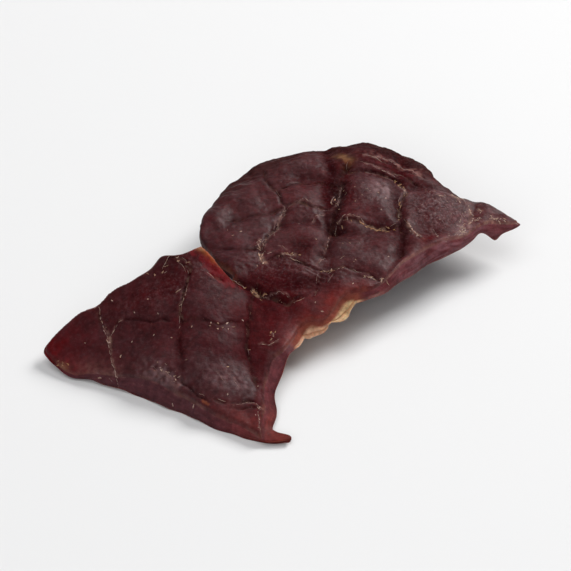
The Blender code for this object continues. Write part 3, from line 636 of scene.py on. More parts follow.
def lift(flat):
    """Lifts flat points to the warped form; also says which way the slab's thickness goes there."""
    line, away = ridge_line(LINE_STEP)
    distance, number = nearest_in(flat, line[:, :2])
    out = away[number]
    beyond = ((flat - line[number, :2]) * out).sum(axis=1) > 0
    beyond &= (number > 0) & (number < len(line) - 1)
    start = np.where(beyond[:, None], line[number, :2], flat)
    d = np.where(beyond, distance, 0.0)
    radius = line[number, 2]
    slope = (lobe_height(start + 0.2 * out) - lobe_height(start - 0.2 * out)) / 0.4
    first = -np.arctan(slope)
    turn = np.minimum(d / radius, ROLL_LIMIT - first)
    rest = d - turn * radius
    reach = radius * (np.sin(first + turn) - np.sin(first)) + rest * np.cos(first + turn)
    fall = radius * (np.cos(first) - np.cos(first + turn)) + rest * np.sin(first + turn)
    top = np.column_stack([start + out * reach[:, None], lobe_height(start) - fall])
    angle = first * ease(d / THICKNESS) + turn
    inward = np.column_stack([out * np.sin(angle)[:, None], np.cos(angle)])
    inward[~beyond] = (0, 0, 1)
    return top, -inward, d


def normals_of(points, faces):
    a, b, c = (points[faces[:, k]] for k in range(3))
    across = np.cross(b - a, c - a)
    normal = np.zeros_like(points)
    for k in range(3):
        np.add.at(normal, faces[:, k], across)
    return unit(normal)


def smooth_zone(flat):
    """1 over the smooth skin that is pulled tight between the lobes and the fat seam, else 0."""
    start, end = np.array(SMOOTH_START), np.array(SMOOTH_END)
    share = clip((flat - start) @ (end - start) / ((end - start) @ (end - start)))
    gap = np.linalg.norm(flat - start - share[:, None] * (end - start), axis=1)
    return np.exp(-((gap / SMOOTH_REACH) ** 2))


def rack_print(flat):
    """Height of the rack's print: pillows between the wires and grooves under them."""
    sway = WIRE_WANDER * wanders(flat, WIRE_WANDER_LENGTH, 3.0, 11.0)
    cell = (flat - np.array(WIRE_ORIGIN) + sway) / WIRE_PITCH
    off = np.abs(cell - np.round(cell)) * WIRE_PITCH
    pillow = np.prod(np.sin(np.pi * off / WIRE_PITCH), axis=1)
    groove = np.exp(-((off / WIRE_GROOVE_WIDTH) ** 2)).max(axis=1)
    strength = clip(0.7 + 0.4 * wander(flat, WIRE_WANDER_LENGTH, 5.0), 0.2, 1)
    to_right = ease(flat[:, 0], *PILLOW_SPAN)
    low, high = PILLOW_HEIGHT
    height = low + (high - low) * to_right
    shallow = LEFT_GROOVE_SHARE + (1 - LEFT_GROOVE_SHARE) * to_right
    return height * pillow - WIRE_GROOVE_DEPTH * shallow * strength * groove


def thickness_at(flat, rolled):
    """Thickness of the slab: less behind the ridge, and least at the two tips."""
    thick = THICKNESS + (BACK_THICKNESS - THICKNESS) * ease(rolled / BACK_TAPER)
    for tip in (LEFT_TIP, RIGHT_TIP):
        near = 1 - ease(np.linalg.norm(flat - tip, axis=1) / TIP_LENGTH)
        thick = thick + (TIP_THICKNESS - thick) * near
    return thick


def lower_rim(rim_rows, outward, inward, thick):
    """Steps from the upper rim to the lower rim."""
    cut = outward * rim_rows[:, 2:3]
    cut[:, 2] = -rim_rows[:, 3]
    share = clip(rim_rows[:, 4:5])
    return cut * share + inward * thick[:, None] * (1 - share)


def spread(flat, rim, steps):
    """Carries the rim's steps to every point, each by the nearness of the rim's points."""
    found = np.empty((len(flat), 3))
    for start in range(0, len(flat), 2000):
        gap = ((flat[start : start + 2000, None] - rim[None]) ** 2).sum(axis=2)
        weight = 1 / (gap + 0.04) ** 2
        found[start : start + 2000] = (weight @ steps) / weight.sum(axis=1)[:, None]
    return found


def spot(flat, x, y, width, height=None, turn=0.0):
    """1 at a place of the plan and 0 away from it, over an oval turned by some degrees."""
    c, s = math.cos(math.radians(turn)), math.sin(math.radians(turn))
    dx, dy = flat[:, 0] - x, flat[:, 1] - y
    along, across = dx * c + dy * s, -dx * s + dy * c
    return np.exp(-((along / width) ** 2) - (across / (height or width)) ** 2)


def spots(flat, rows):
    """The sum of some spots, each with its strength before its place, half-widths and turn."""
    return sum(strength * spot(flat, *place) for strength, *place in rows)


def patch(flat, x, y, width, height, turn=0.0):
    """A spot with an uneven, rather sharp edge."""
    ragged = spot(flat, x, y, width, height, turn) + 0.22 * wander(flat, 0.9, 179.0)
    return ease(ragged, 0.32, 0.55)


def ridged(points, length, offset):
    """Noise with sharp crests, from 0 to 1."""
    return clip(1 - 1.6 * np.abs(wander(points, length, offset)))


def turned(flat, c, s):
    """The plan turned by the angle whose cosine and sine are given."""
    return flat @ np.array([[c, -s], [s, c]])


def near_way(points, way, reach):
    """The points within reach of a way: their numbers, gaps, how far along it, and its length."""
    line = way_line(way, LINE_STEP)
    low, high = line.min(axis=0) - reach, line.max(axis=0) + reach
    near = np.flatnonzero(((points > low) & (points < high)).all(axis=1))
    gap, number = nearest_in(points[near], line)
    return near, gap, number * LINE_STEP, len(line) * LINE_STEP


def crease_marks(flat):
    """Relief of the creases, how deep in one each point lies, and how much pale thread it has."""
    relief, deep, pale = np.zeros((3, len(flat)))
    swayed = flat + CREASE_SWAY * wanders(flat, 2.4, 31.0, 47.0)
    strength = clip(0.85 + 0.4 * wander(flat, 2.2, 53.0), 0.25, 1.2)
    lip_share, groove_share, crack_share = CREASE_SHAPE
    for depth, width, thread, *way in CREASES:
        near, gap, s, length = near_way(swayed, way, 4 * width + 1)
        start, end = ease(s / 1.4 + 0.2), ease((length - s) / 1.4 + 0.2)
        power = strength[near] * (start * end)
        groove = np.exp(-((gap / width) ** 2))
        crack = np.exp(-((gap / (0.3 * width + 0.05)) ** 2))
        lip = np.exp(-(((gap - 2.1 * width) / width) ** 2))
        shape = lip_share * np.sign(depth) * lip - groove_share * groove - crack_share * crack
        relief[near] += power * depth * shape
        deep[near] = np.maximum(deep[near], power * groove * (depth > 0))
        shown = thread * power * np.exp(-((gap / (0.3 * width + 0.12)) ** 2))
        pale[near] = np.maximum(pale[near], shown)
    return relief, deep, pale


def strand_marks(flat):
    """How much cream and how much rose sinew shows through the meat's surface, from 0 to 1."""
    cream, rose = np.zeros((2, len(flat)))
    swayed = flat + STRAND_SWAY * wanders(flat, 0.9, 241.0, 251.0)
    broken = clip(0.75 + 0.9 * wander(flat, 0.9, 257.0))
    for width, tone, *way in STRANDS:
        near, gap, _, _ = near_way(swayed, way, 1.5)
        mark = np.exp(-((gap / (0.45 * width + 0.06)) ** 2)) * broken[near] * min(1, 0.35 + 1.6 * width)
        share = min(1, max(0, tone - 0.6))
        cream[near] = np.maximum(cream[near], mark * (1 - share))
        rose[near] = np.maximum(rose[near], mark * share)
    return cream, rose


def fat_seam(rim, length):
    """1 along the part of the rim that has the fat seam, fading at its ends, and its scallops."""
    first, last = (length[np.linalg.norm(rim - place, axis=1).argmin()] for place in (SEAM_START, SEAM_END))
    s = length - first
    along = ease(s / 1.6) * ease((last - first - s) / 1.8)
    arches = [full * np.sqrt(clip(1 - ((s - at) / width) ** 2)) for at, width, full in SCALLOPS]
    return along, np.max(arches, axis=0), s


def mix(colour, other, share):
    share = clip(share).reshape(-1, 1)
    return colour * (1 - share) + np.array(other) * share


def layered(colour, layers):
    """Paints layers over a colour, each given by its own colour and how much of it shows."""
    for other, share in layers:
        colour = mix(colour, other, share)
    return colour


def plain(colour, count):
    return np.tile(colour, (count, 1))


def crumb(flat):
    """Small round crumbs of the dried surface, from 0 to 1."""
    return ease(wander(flat, 0.62, 211.0) + 0.35 * wander(flat, 0.4, 223.0), -0.05, 0.55)


def crumb_zone(flat):
    """Where the surface is crumbly, from 0 to 1."""
    return clip(spots(flat, CRUMBLY) + 0.10 * ease(flat[:, 0], -8, 4) + 0.03)


def paint_top(flat, rolled, edge, hollow, deep, pale, seam_gap):
    """Colour, roughness, scuffing, gloss and crumbs of the top face, with painted shade and highlights."""
    x, y = flat[:, 0], flat[:, 1]
    broad, middle, fine = wander(flat, 9.0, 61.0), wander(flat, 3.0, 67.0), wander(flat, 1.1, 71.0)
    blotch = wander(flat, 2.3, 199.0) + 0.3 * fine
    mottled = clip(0.75 + 0.9 * fine, 0.2, 1)
    speckle = clip(0.55 + 0.9 * wander(flat, 0.75, 83.0), 0, 1.3)
    broken = ease(wander(flat, 0.8, 89.0) + 0.5 * fine, -0.25, 0.35)
    uneven = clip(0.7 + 0.8 * middle, 0.3, 1)
    grains = {"mottled": mottled, "blotched": clip(0.85 + 0.5 * blotch, 0.3, 1)}
    front, back, skin = rolled == 0, ease(rolled, 1.5, 6.0), smooth_zone(flat)
    valley_floor = clip(spots(flat, VALLEY_FLOOR)) * clip(0.9 + 0.4 * blotch, 0.3, 1)
    bloom_and_sheen, sheen = clip(spots(flat, BLOOM_AND_SHEEN_SPOTS)), spots(flat, SHEENS)
    crumbly, crumbs = crumb_zone(flat), crumb(flat)
    highlight_streaks = ridged(turned(flat, 0.86, 0.50) * (1.0, 0.22), 0.9, 227.0)
    cream, rose = strand_marks(flat)
    stain = spot(flat, 25.2, 41.6, 2.5, 1.2, 45)
    glow = np.exp(-((seam_gap / 1.5) ** 2)) * ease(seam_gap, -1, 0.1)
    glow = np.maximum(0.45 * glow, 0.56 * spot(flat, 8.0, 27.6, 1.6, 2.2, -35))
    by_seam = np.exp(-((seam_gap / 0.6) ** 2)) * clip(0.7 + 0.8 * fine, 0.2, 1)

    def rim_within(width):
        return 1 - ease(edge / width)

    colour = mix(plain(PLUM, len(flat)), PLUM_RIGHT, ease(x + 0.6 * y, 12.0, 24.0))
    colour *= (1 + 0.16 * broad + 0.12 * middle + 0.08 * fine)[:, None]
    layers = [
        (VALLEY_RED_AND_SHADE, 0.5 * ease(blotch, 0.05, 0.6)),
        (BLOOM_AND_SHEEN, 0.05 * ease(-blotch, 0.1, 0.7) * ease(x, -12, 4)),
        # painted shade: the valley between the lobes is darkened
        (VALLEY_RED_AND_SHADE, 0.9 * spot(flat, -1.0, 31.0, 8.0, 4.4, -15)),
        (SHADE, 0.35 * spot(flat, -1.5, 29.8, 5.0, 1.6, -15)),
        (SKIN_RED, skin * clip(0.75 + 0.5 * blotch, 0, 0.95)),
        (DEEP_RED, 0.5 * skin * ease(fine + middle, 0.1, 0.7)),
        # darker red along the valley floor, partly painted shade
        (SHADED_VALLEY_RED, 0.92 * valley_floor),
        (RIM_RED, 0.5 * rim_within(2.2) * ease(x, 16, 20) * front),
    ]
    for other, strength, *place in TOP_SPOTS:
        shown = grains[place.pop()] if isinstance(place[-1], str) else 1
        layers.append((other, strength * spot(flat, *place) * shown))
    layers += [
        (FLAP_RED, 0.95 * patch(flat, -12.2, 30.8, 4.2, 2.3, -38)),
        (AMBER, 0.8 * spot(flat, -13.5, 32.8, 1.6, 0.8, -40) * mottled),
        (TAN, 0.7 * spot(flat, -14.6, 33.3, 0.7, 0.45, -10)),
        (AMBER, 0.45 * patch(flat, -13.2, 7.0, 0.9, 0.3, -42)),
        (AMBER, 0.95 * rim_within(1.5) * spot(flat, -12.0, 32.6, 3.4, 1.6, -32) * mottled),
        (PALE, 0.6 * rim_within(0.5) * spot(flat, -11.8, 32.2, 4.0, 1.8, -40) * mottled),
        (GLOW, glow),
        (SEAM_BROWN, 0.45 * by_seam),
        # grey bloom, which at the sheens is a painted highlight
        (BLOOM_AND_SHEEN, 0.42 * bloom_and_sheen * speckle),
        (VALLEY_RED_AND_SHADE, 0.5 * crumbly * (1 - crumbs)),
        (CRUMB_AND_HIGHLIGHT, 0.20 * crumbly * crumbs),
        (CRUMB_AND_HIGHLIGHT, 0.70 * spot(flat, 31.9, 46.0, 1.5, 2.4, -35) * mottled),
        (CRUMB_AND_HIGHLIGHT, 0.60 * spot(flat, 33.1, 49.2, 0.8, 2.2) * mottled),
        # painted highlights: pale streaks on the front sheens and a pale spot on cell B
        (CRUMB_AND_HIGHLIGHT, 0.42 * sheen * highlight_streaks * speckle),
        (CRUMB_AND_HIGHLIGHT, 0.55 * spot(flat, 18.2, 53.6, 2.6, 2.0, -20) * speckle),
        # browner and darker behind the ridge: partly the meat's colour, partly painted shadow, with a painted
        # shadow on the back slope
        (BACK_BROWN_AND_SHADOW, 0.75 * back),
        (SHADE, 0.48 * spot(flat, 18.6, 64.4, 8.0, 3.0, -20)),
        # painted shade in the hollows of the rack print, in the creases and in the groove beside cell A
        (VALLEY_RED_AND_SHADE, 0.5 * hollow),
        (SHADE, 0.55 * clip(deep)),
        (SHADE, 0.25 * hollow),
        (SHADE, 0.55 * spot(flat, 9.4, 50.0, 11.0, 1.0, 96)),
        (PALE, 0.30 * pale * broken),
        (STRAND_ROSE, 0.75 * rose),
        (STRAND_CREAM, 0.55 * cream),
        # painted highlight along the ridge
        (PINK_EDGE_AND_HIGHLIGHT, 0.55 * spots(flat, RIDGE_HIGHLIGHTS) * broken),
        (DEEP_RED, 0.9 * stain),
        # painted highlight along the front rim of the right lobe
        (PINK_EDGE_AND_HIGHLIGHT, 0.85 * rim_within(0.4) * ease(x, 14, 19) * front * (1 - 0.8 * stain) * uneven),
        (PALE, 0.6 * rim_within(0.7) * spot(flat, 37.0, 49.0, 5.5, 2.5, 12) * (y < 52) * broken),
        (EDGE_TAN, 0.5 * rim_within(0.5) * clip(0.5 + 0.8 * middle) * front),
        # painted highlight along the back rim of the left lobe
        (PINK_EDGE_AND_HIGHLIGHT, 0.65 * rim_within(0.6) * spot(flat, -33.0, 28.0, 9.0, 3.0, 24)),
    ]
    rough = 0.48 + 0.05 * middle + 0.10 * bloom_and_sheen + 0.12 * back
    scuff = 0.9 * pale + 0.5 * deep + 0.7 * bloom_and_sheen + 0.35 * spot(flat, 1.0, 33.0, 9.0, 3.5)
    dull = spots(flat, DULLS) + 0.9 * back + 0.7 * deep + 0.4 * hollow + 0.8 * (rose + cream) + 0.9 * stain
    gloss = GLOSS * (1 + 0.25 * bloom_and_sheen + 0.8 * sheen) * (1 - 0.97 * clip(dull))
    return layered(colour, layers), rough, clip(scuff), gloss, crumbly


def paint_wall(rim_rows, length, w, fat, seam, seam_s, fold, tall):
    """Colour, roughness, scuffing, gloss and crumbs of one row of the cut wall, with painted shade and
    highlights.
    """
    rim = rim_rows[:, :2]
    x, y = rim[:, 0], rim[:, 1]
    layer = wander(np.column_stack([length / 3.0, 3.0 * w * tall]), 1.0, 97.0)
    streak = wander(np.column_stack([length / 2.2, 4.0 * w * tall]), 1.0, 119.0)
    right_wall, on_right = ease(x, -5.2, -3.6) * (y < 60), ease(x, -3.0, 0.0)
    toward_hook = ease(x, -16, -6) * (x < -3.5) * (y < 12)
    at_back = (rim_rows[:, 4] < 0.5) | ((y > 24) & (x < -8))
    lilac = ease(x, 17, 23) * (y < 52) * clip(0.55 + 0.8 * layer)
    lower = ease(w, 0.88, 1.0) * clip(0.6 + 0.7 * wander(rim, 2.0, 103.0))
    upper = (1 - ease(w, 0.02, 0.16)) * clip(0.35 + 0.9 * wander(rim, 1.4, 107.0))
    layers = [
        (WALL_RED, (0.75 + 0.25 * ease(x, 10, 20)) * right_wall),
        (WALL_RED, 0.95 * toward_hook),
        (TOE_RED, 0.30 * spot(rim, -5.5, 1.0, 4.5, 3.0)),
        # browner and darker on the back of the wall, partly painted shadow
        (BACK_BROWN_AND_SHADOW, 0.8 * at_back),
        (TIP_RED, 0.9 * spot(rim, -41.5, 20.5, 5.0, 4.0)),
        (WALL_LILAC, 0.72 * lilac * (1 - 0.6 * ease(x, 34, 37))),
        (TOE_RED, 0.85 * spot(rim, *HOOK_POINT, 2.6, 3.4) * ease(w, 0.25, 0.7)),
        (TOE_RED, 0.5 * spot(rim, -3.9, 3.5, 1.0, 4.0) * ease(w, 0.1, 0.4)),
    ]
    colour = layered(plain(WALL_PLUM, len(rim)), layers)
    light = 1 + 0.13 * layer + 0.14 * wander(rim, 5.0, 101.0) - 0.2 * w * right_wall
    colour *= (light * (1 + 0.14 * ease(x, 10, 16) * (y < 52)))[:, None]
    fat_layers = [
        (FAT_YELLOW, ease(seam_s, 8.6, 10.4)),
        # painted shade in the fold of the fat, and a painted highlight along its lower rim
        (FAT_DARK_AND_FOLD_SHADE, 0.65 * fold + 0.3 * clip(streak)),
        (FAT_RIM_HIGHLIGHT, 0.6 * ease(w, 0.80, 0.95)),
    ]
    layers = [
        # painted highlights along the lower and upper rims of the wall and on the shoulder, and painted shade
        # at the foot of the front wall
        (PINK_EDGE_AND_HIGHLIGHT, (0.15 + 0.55 * on_right) * lower * (1 - at_back)),
        (SHADE, 0.35 * ease(w, 0.55, 1.0) * (1 - on_right) * (y < 17)),
        (PINK_EDGE_AND_HIGHLIGHT, 0.35 * upper * (1 - at_back)),
        (PINK_EDGE_AND_HIGHLIGHT, 0.8 * ease(w, 0.45, 0.8) * spot(rim, 15.6, 30.3, 2.4, 1.6)),
        (SEAM_BROWN, seam * (0.6 + 0.35 * ease(w, 0.0, 0.35))),
        (layered(plain(FAT_LIGHT, len(rim)), fat_layers), fat),
    ]
    dull = 0.8 * seam + 0.8 * spot(rim, -2.5, 9.0, 3.0, 9.0) + 0.9 * spot(rim, -10.5, 32.0, 4.0, 3.0)
    gloss = GLOSS * (0.3 * (1 - clip(dull)) + 0.5 * fat)
    return layered(colour, layers), 0.48 + 0.05 * layer - 0.06 * fat, 0.15 * (1 - fat), gloss, 0 * fat


def paint_bottom(flat, edge, fat):
    """Colour, roughness, scuffing, gloss and crumbs of the underside, with painted shade in its grooves."""
    broad, middle = wander(flat, 8.0, 167.0), wander(flat, 2.2, 173.0)
    membrane = ridged(turned(flat, 0.8, 0.6) * (0.35, 1.0), 4.5, 269.0)
    colour = mix(plain(UNDER_PLUM, len(flat)), DEEP_RED, 0.5 + 0.5 * broad)
    layers = [
        (BLOOM_AND_SHEEN, 0.22 * ease(wander(flat, 3.4, 263.0) + 0.4 * middle, 0.1, 0.7)),
        (STRAND_ROSE, 0.45 * ease(membrane, 0.86, 0.99) * clip(0.6 + 0.8 * middle)),
        # painted shade in the grooves of the rack print, and a pale pink rim that is partly a painted
        # highlight
        (SHADE, 0.35 * ease(-rack_print(flat), 0.05, 0.5)),
        (TIP_RED, 0.8 * spot(flat, -41.0, 21.5, 6.0, 5.5)),
        (PINK_EDGE_AND_HIGHLIGHT, 0.35 * (1 - ease(edge / 0.5))),
        (mix(plain(FAT_LIGHT, len(flat)), FAT_DARK_AND_FOLD_SHADE, 0.5 + 0.6 * middle), fat),
    ]
    colour = layered(colour * (1 + 0.18 * middle)[:, None], layers)
    return colour, 0.50 + 0.05 * middle, 0.3 * (1 - fat), np.full(len(flat), 0.8 * GLOSS), 0 * fat


def fine_relief(flat, rolled, skin, near):
    """Wrinkles, fibres and small bumps of the dried surface."""
    wrinkle = ridged(turned(flat, 0.94, 0.34) * (0.35, 1.0), 1.5, 131.0) - 0.35
    ribs = ridged(turned(flat, 0.97, 0.24) * (1.0, 0.3), 1.3, 181.0)
    folds = ridged(turned(flat, 0.94, -0.34) * (0.28, 1.0), 1.0, 239.0) - 0.4
    bands = ridged(flat * (0.55, 1.0), 3.2, 149.0)
    bump = wander(flat, 0.9, 137.0)
    fine = 0.034 * bump + 0.04 * wander(flat, 2.6, 139.0) + 0.025 * wrinkle + 0.014 * wander(flat, 0.6, 191.0)
    fine += ribs * spots(flat, RIBBED)
    fine += clip(spots(flat, ROUGHENED)) * (0.13 * wrinkle + 0.07 * bump)
    fine += 0.13 * crumb_zone(flat) * (crumb(flat) - 0.4)
    fine *= 1 - 0.5 * spot(flat, -10.5, 23.5, 4.5, 4.5)
    fine += 0.26 * folds * clip(spots(flat, FOLDED))
    fine += ease(rolled, 1.0, 5.0) * (0.22 * bands + 0.10 * wrinkle - 0.1)
    return fine * (1 - 0.4 * skin) * (1 - 0.5 * near)


def under_relief(flat):
    """The underside is plainer: long shallow wrinkles and a faint grain."""
    long_wrinkle = ridged(flat * (0.4, 1.0), 3.6, 151.0)
    return 0.22 * long_wrinkle + 0.10 * wander(flat, 1.8, 157.0) + 0.05 * wander(flat, 0.9, 163.0)


def toe_bend(w, near_hook, fall):
    """How one row of the wall is bent out into the hook's toe, which has a rounded end."""
    t = (max(w, TOE_START) - TOE_START) / (1 - TOE_START)
    lift = HOOK_REACH[2] + TOE_HALF * (1 + math.cos(math.pi * t)) - fall * (1 - max(w, TOE_START))
    before = min(w / TOE_START, 1)
    along = (0.95 + 0.05 * t + 0.10 * math.sin(math.pi * t)) * before**2.6
    reach = near_hook * along
    return np.column_stack([reach * HOOK_REACH[0], reach * HOOK_REACH[1], near_hook**2 * lift * before**2])


def sheet(rim, spacing):
    """One side of the slab before its relief: flat points and faces, lifted points and normals, the
    inward direction, how far each point is rolled and lies from the edge, and how near the edge it is."""
    flat, faces = flat_mesh(rim, spacing)
    base, inward, rolled = lift(flat)
    edge = nearest_in(flat, rim)[0]
    return flat, faces, base, normals_of(base, faces), inward, rolled, edge, 1 - ease(edge / WALL_BAND)


def top_side(rim, seam_line):
    """The top's faces, points and paint, with the inward direction and the thickness at each point."""
    flat, faces, base, normal, inward, rolled, edge, near = sheet(rim, TOP_SPACING)
    skin = smooth_zone(flat)
    creases, deep, pale = crease_marks(flat)
    relief = rack_print(flat) * (1 - near) * (1 - skin)
    hollow = ease(-relief, 0.02, 0.45)
    relief += SWELL_HEIGHT * wander(flat, SWELL_LENGTH)
    relief += creases * (1 - 0.7 * near * (rolled > 0))
    relief += fine_relief(flat, rolled, skin, near)
    rounded = EDGE_ROUND * (1 - RIGHT_EDGE_CRISP * ease(flat[:, 0], 13.0, 19.0))
    inset = clip(1 - edge / rounded)
    relief -= rounded * 0.85 * (1 - np.sqrt(1 - inset**2))
    paint = paint_top(flat, rolled, edge, hollow, deep, pale, nearest_in(flat, seam_line)[0])
    return faces, base + normal * relief[:, None], paint, inward, thickness_at(flat, rolled)


def under_side(rim, steps, seam_line, seam):
    """The underside's faces, points and paint. Its rim lies the given steps from the upper rim."""
    flat, faces, base, normal, inward, rolled, edge, near = sheet(rim, BOTTOM_SPACING)
    lean = clip(-(inward * normal).sum(axis=1), 0.6, 1)
    under = inward * (thickness_at(flat, rolled) / lean)[:, None] * (1 - near[:, None])
    under += spread(flat, rim, steps) * near[:, None]
    under[: len(rim)] = steps
    relief = 0.8 * SWELL_HEIGHT * wander(flat, SWELL_LENGTH)
    relief += (under_relief(flat) - 0.35 * rack_print(flat)) * (1 - near)
    fat = 1 - ease(nearest_in(flat, seam_line)[0] + 1.3 * wander(flat, 2.5, 127.0), 2.2, 2.9)
    fat[: len(rim)] = seam
    return faces, base + under + normal * relief[:, None], paint_bottom(flat, edge, fat)


def stitched(top_faces, low_faces, size, count, rows):
    """All faces of the slab: the top, the wall of some rows of points round it, and the underside."""
    rings = [np.arange(size)] + [np.arange(size) + count + k * size for k in range(rows + 1)]
    faces = top_faces.tolist()
    for upper, lower in zip(rings, rings[1:]):
        faces += np.column_stack([np.roll(upper, -1), upper, lower, np.roll(lower, -1)]).tolist()
    return faces + (low_faces[:, ::-1] + count + rows * size).tolist()


def slab():
    """The slice's points and faces, and the values painted on its points."""
    rim_rows = curve(*outline(), TOP_SPACING, closed=True)
    rim, size, cut = rim_rows[:, :2], len(rim_rows), clip(rim_rows[:, 4])
    length = travelled(rim)
    along = np.roll(rim, -1, axis=0) - np.roll(rim, 1, axis=0)
    outward = unit(np.column_stack([along[:, 1], -along[:, 0], np.zeros(size)]))
    seam, scallop, seam_s = fat_seam(rim, length)
    seam_line = rim[(seam > 0.05) & (rim_rows[:, 4] > 0.5)]
    top_faces, top, top_paint, inward, thick = top_side(rim, seam_line)

    steps = lower_rim(rim_rows, outward, inward[:size], thick[:size])
    near_hook = np.exp(-((np.linalg.norm(rim - HOOK_POINT, axis=1) / HOOK_WIDTH) ** 2.3))[:, None]
    around = range(-HOOK_BLUR, HOOK_BLUR + 1)
    blurred = sum(np.roll(steps, k, axis=0) for k in around) / len(around)
    steps = steps + (blurred - steps) * near_hook
    hook = np.hstack([near_hook, near_hook, near_hook**2]) * HOOK_REACH
    stand, draw = SCALLOP_REACH
    lobes = outward * (seam * ((stand + draw) * scallop - draw))[:, None]
    low_faces, bottom, low_paint = under_side(rim, steps + (hook + lobes), seam_line, seam)

    tall = np.linalg.norm(steps, axis=1)
    high_rim, low_rim = top[:size], bottom[:size] - hook
    fold_at = FAT_FOLD + 0.07 * wander(np.column_stack([seam_s, 0 * seam_s]), 2.4, 113.0)
    walls, paints = [], [top_paint]
    for k in range(1, WALL_ROWS):
        w = k / WALL_ROWS
        arch = math.sin(math.pi * w)
        layer = wander(np.column_stack([length / 2.6, w * tall * 1.6]), 1.0, 109.0)
        pleat = wander(np.column_stack([seam_s, 1.5 * w * tall]), 1.5, 117.0)
        fat = seam * ease((w - (0.68 - 0.42 * scallop)) / 0.09)
        fold = np.exp(-(((w - fold_at) / FAT_FOLD_WIDTH) ** 2))
        bulge = (0.20 * arch + 0.07 * layer * arch**0.5) * (0.35 + 0.65 * cut)
        bulge += fat * (0.46 * scallop - 0.30 * fold + 0.08 * pleat)
        row = high_rim * (1 - w) + low_rim * w
        row += toe_bend(w, near_hook[:, 0], high_rim[:, 2] - low_rim[:, 2])
        walls.append(row + outward * bulge[:, None])
        paints.append(paint_wall(rim_rows, length, w, fat, seam, seam_s, fold, tall))
    paints.append(low_paint)
    values = {label: np.concatenate(parts) for label, parts in zip(PAINTED, zip(*paints))}

    points = np.vstack([top, *walls, bottom])
    points += EDGE_WANDER * wanders(points, EDGE_WANDER_LENGTH, 20.0, 29.0, 38.0)
    points -= SHIFT
    low = np.minimum(points[:, 2] / CONTACT_ROUND, 1)
    points[:, 2] = np.where(low < 1, CONTACT_ROUND * np.exp(low - 1), points[:, 2])
    return points * MM, stitched(top_faces, low_faces, size, len(top), len(walls)), values


def new_mesh(name, points, faces, values):
    mesh = bpy.data.meshes.new(name)
    mesh.from_pydata(points.tolist(), [], faces)
    for label, numbers in values.items():
        numbers = np.asarray(numbers, np.float32)
        if numbers.ndim == 2:
            numbers = np.column_stack([numbers, np.ones(len(numbers), np.float32)])
            held = mesh.attributes.new(label, "FLOAT_COLOR", "POINT").data
            held.foreach_set("color", numbers.ravel())
        else:
            mesh.attributes.new(label, "FLOAT", "POINT").data.foreach_set("value", numbers)
    mesh.polygons.foreach_set("use_smooth", [True] * len(mesh.polygons))
    mesh.validate()
    mesh.update()
    return mesh


def strand(path, normals, width, lumps):
    """A thin flattened thread along a path that lies on the meat, with uneven width and thin ends."""
    along = unit(np.gradient(path, axis=0))
    across = unit(np.cross(along, normals))
    up = np.cross(across, along)
    t = clip(np.linspace(0, 1, len(path)), 0.03, 0.97)
    radius = width / 2 * lumps * np.sin(np.pi * t) ** 0.5
    angle = 2 * np.pi * np.arange(STRAND_SIDES)[:, None] / STRAND_SIDES
    ring = np.cos(angle) * across[:, None] + STRAND_FLATNESS * np.sin(angle) * up[:, None]
    points = path[:, None] + radius[:, None, None] * ring
    here = np.arange(len(path) * STRAND_SIDES).reshape(-1, STRAND_SIDES)
    beside = np.roll(here, -1, axis=1)
    faces = np.stack([here[:-1], beside[:-1], beside[1:], here[1:]], axis=2).reshape(-1, 4).tolist()
    return points.reshape(-1, 3).tolist(), faces + [here[0, ::-1].tolist(), here[-1].tolist()]


def lay(tree, places):
    """Where a line of plan places meets the meat from above, and the meat's direction there."""
    found, normals = [], []
    for x, y in places:
        start = Vector(((x - SHIFT[0]) * MM, (y - SHIFT[1]) * MM, 0.05))
        hit, normal, _, _ = tree.ray_cast(start, Vector((0, 0, -1)))
        if hit is None:
            return None
        found.append(tuple(hit))
        normals.append(tuple(normal))
    return np.array(found), np.array(normals)


def slanted(x, y, heading, t):
    """Plan places at the distances t from a middle, along a heading."""
    return np.column_stack([x + np.cos(heading) * t, y + np.sin(heading) * t])


def slivers(rng):
    """Short golden slivers in clusters: plan places, lift, width and tone of each."""
    wanted = []
    for x, y, along, across, turn, count, length, tone in CLUSTERS:
        turn = math.radians(turn)
        c, s = math.cos(turn), math.sin(turn)
        for _ in range(count):
            a, b = rng.normal(0, along / 1.6), rng.normal(0, across / 1.6)
            heading = turn + rng.normal(0, 0.6)
            size = length * rng.uniform(0.45, 1.5)
            wanted.append((x + a * c - b * s, y + a * s + b * c, heading, size, tone + rng.normal(0, 0.15)))
    ways = []
    for x, y, heading, size, tone in wanted:
        t = np.linspace(-0.5, 0.5, 8) * size
        places = slanted(x, y, heading + rng.normal(0, 0.12) * t / size * 2, t)
        places += rng.normal(0, 0.028, places.shape)
        raised = rng.uniform(0.0, 0.05) + rng.uniform(0, 0.12) * (t / size + 0.5) ** 2 * (rng.random() < 0.3)
        limits = THREAD_WIDTH if rng.random() < SLIM_SHARE else FLECK_WIDTH
        ways.append((places, raised, rng.uniform(*limits), tone))
    return ways


def threads(rng):
    """Long pale threads that follow the creases, with gaps: plan places, lift, width and tone."""
    ways = []
    for _, width, share, *way in CREASES:
        line = way_line(way, LINE_STEP)
        start = 0
        while start < len(line):
            end = start + max(4, round(rng.uniform(*THREAD_LENGTH) / LINE_STEP))
            piece = line[start:end]
            if len(piece) >= 4 and rng.random() < share:
                aside = rng.normal(0, 0.25 * width, 2) + 0.12 * wanders(piece, 0.8, 193.0, 197.0)
                ways.append((piece + aside, 0, rng.uniform(*THREAD_WIDTH), rng.uniform(*THREAD_TONE)))
            start = end + round(rng.uniform(*THREAD_GAP) / LINE_STEP)
    return ways


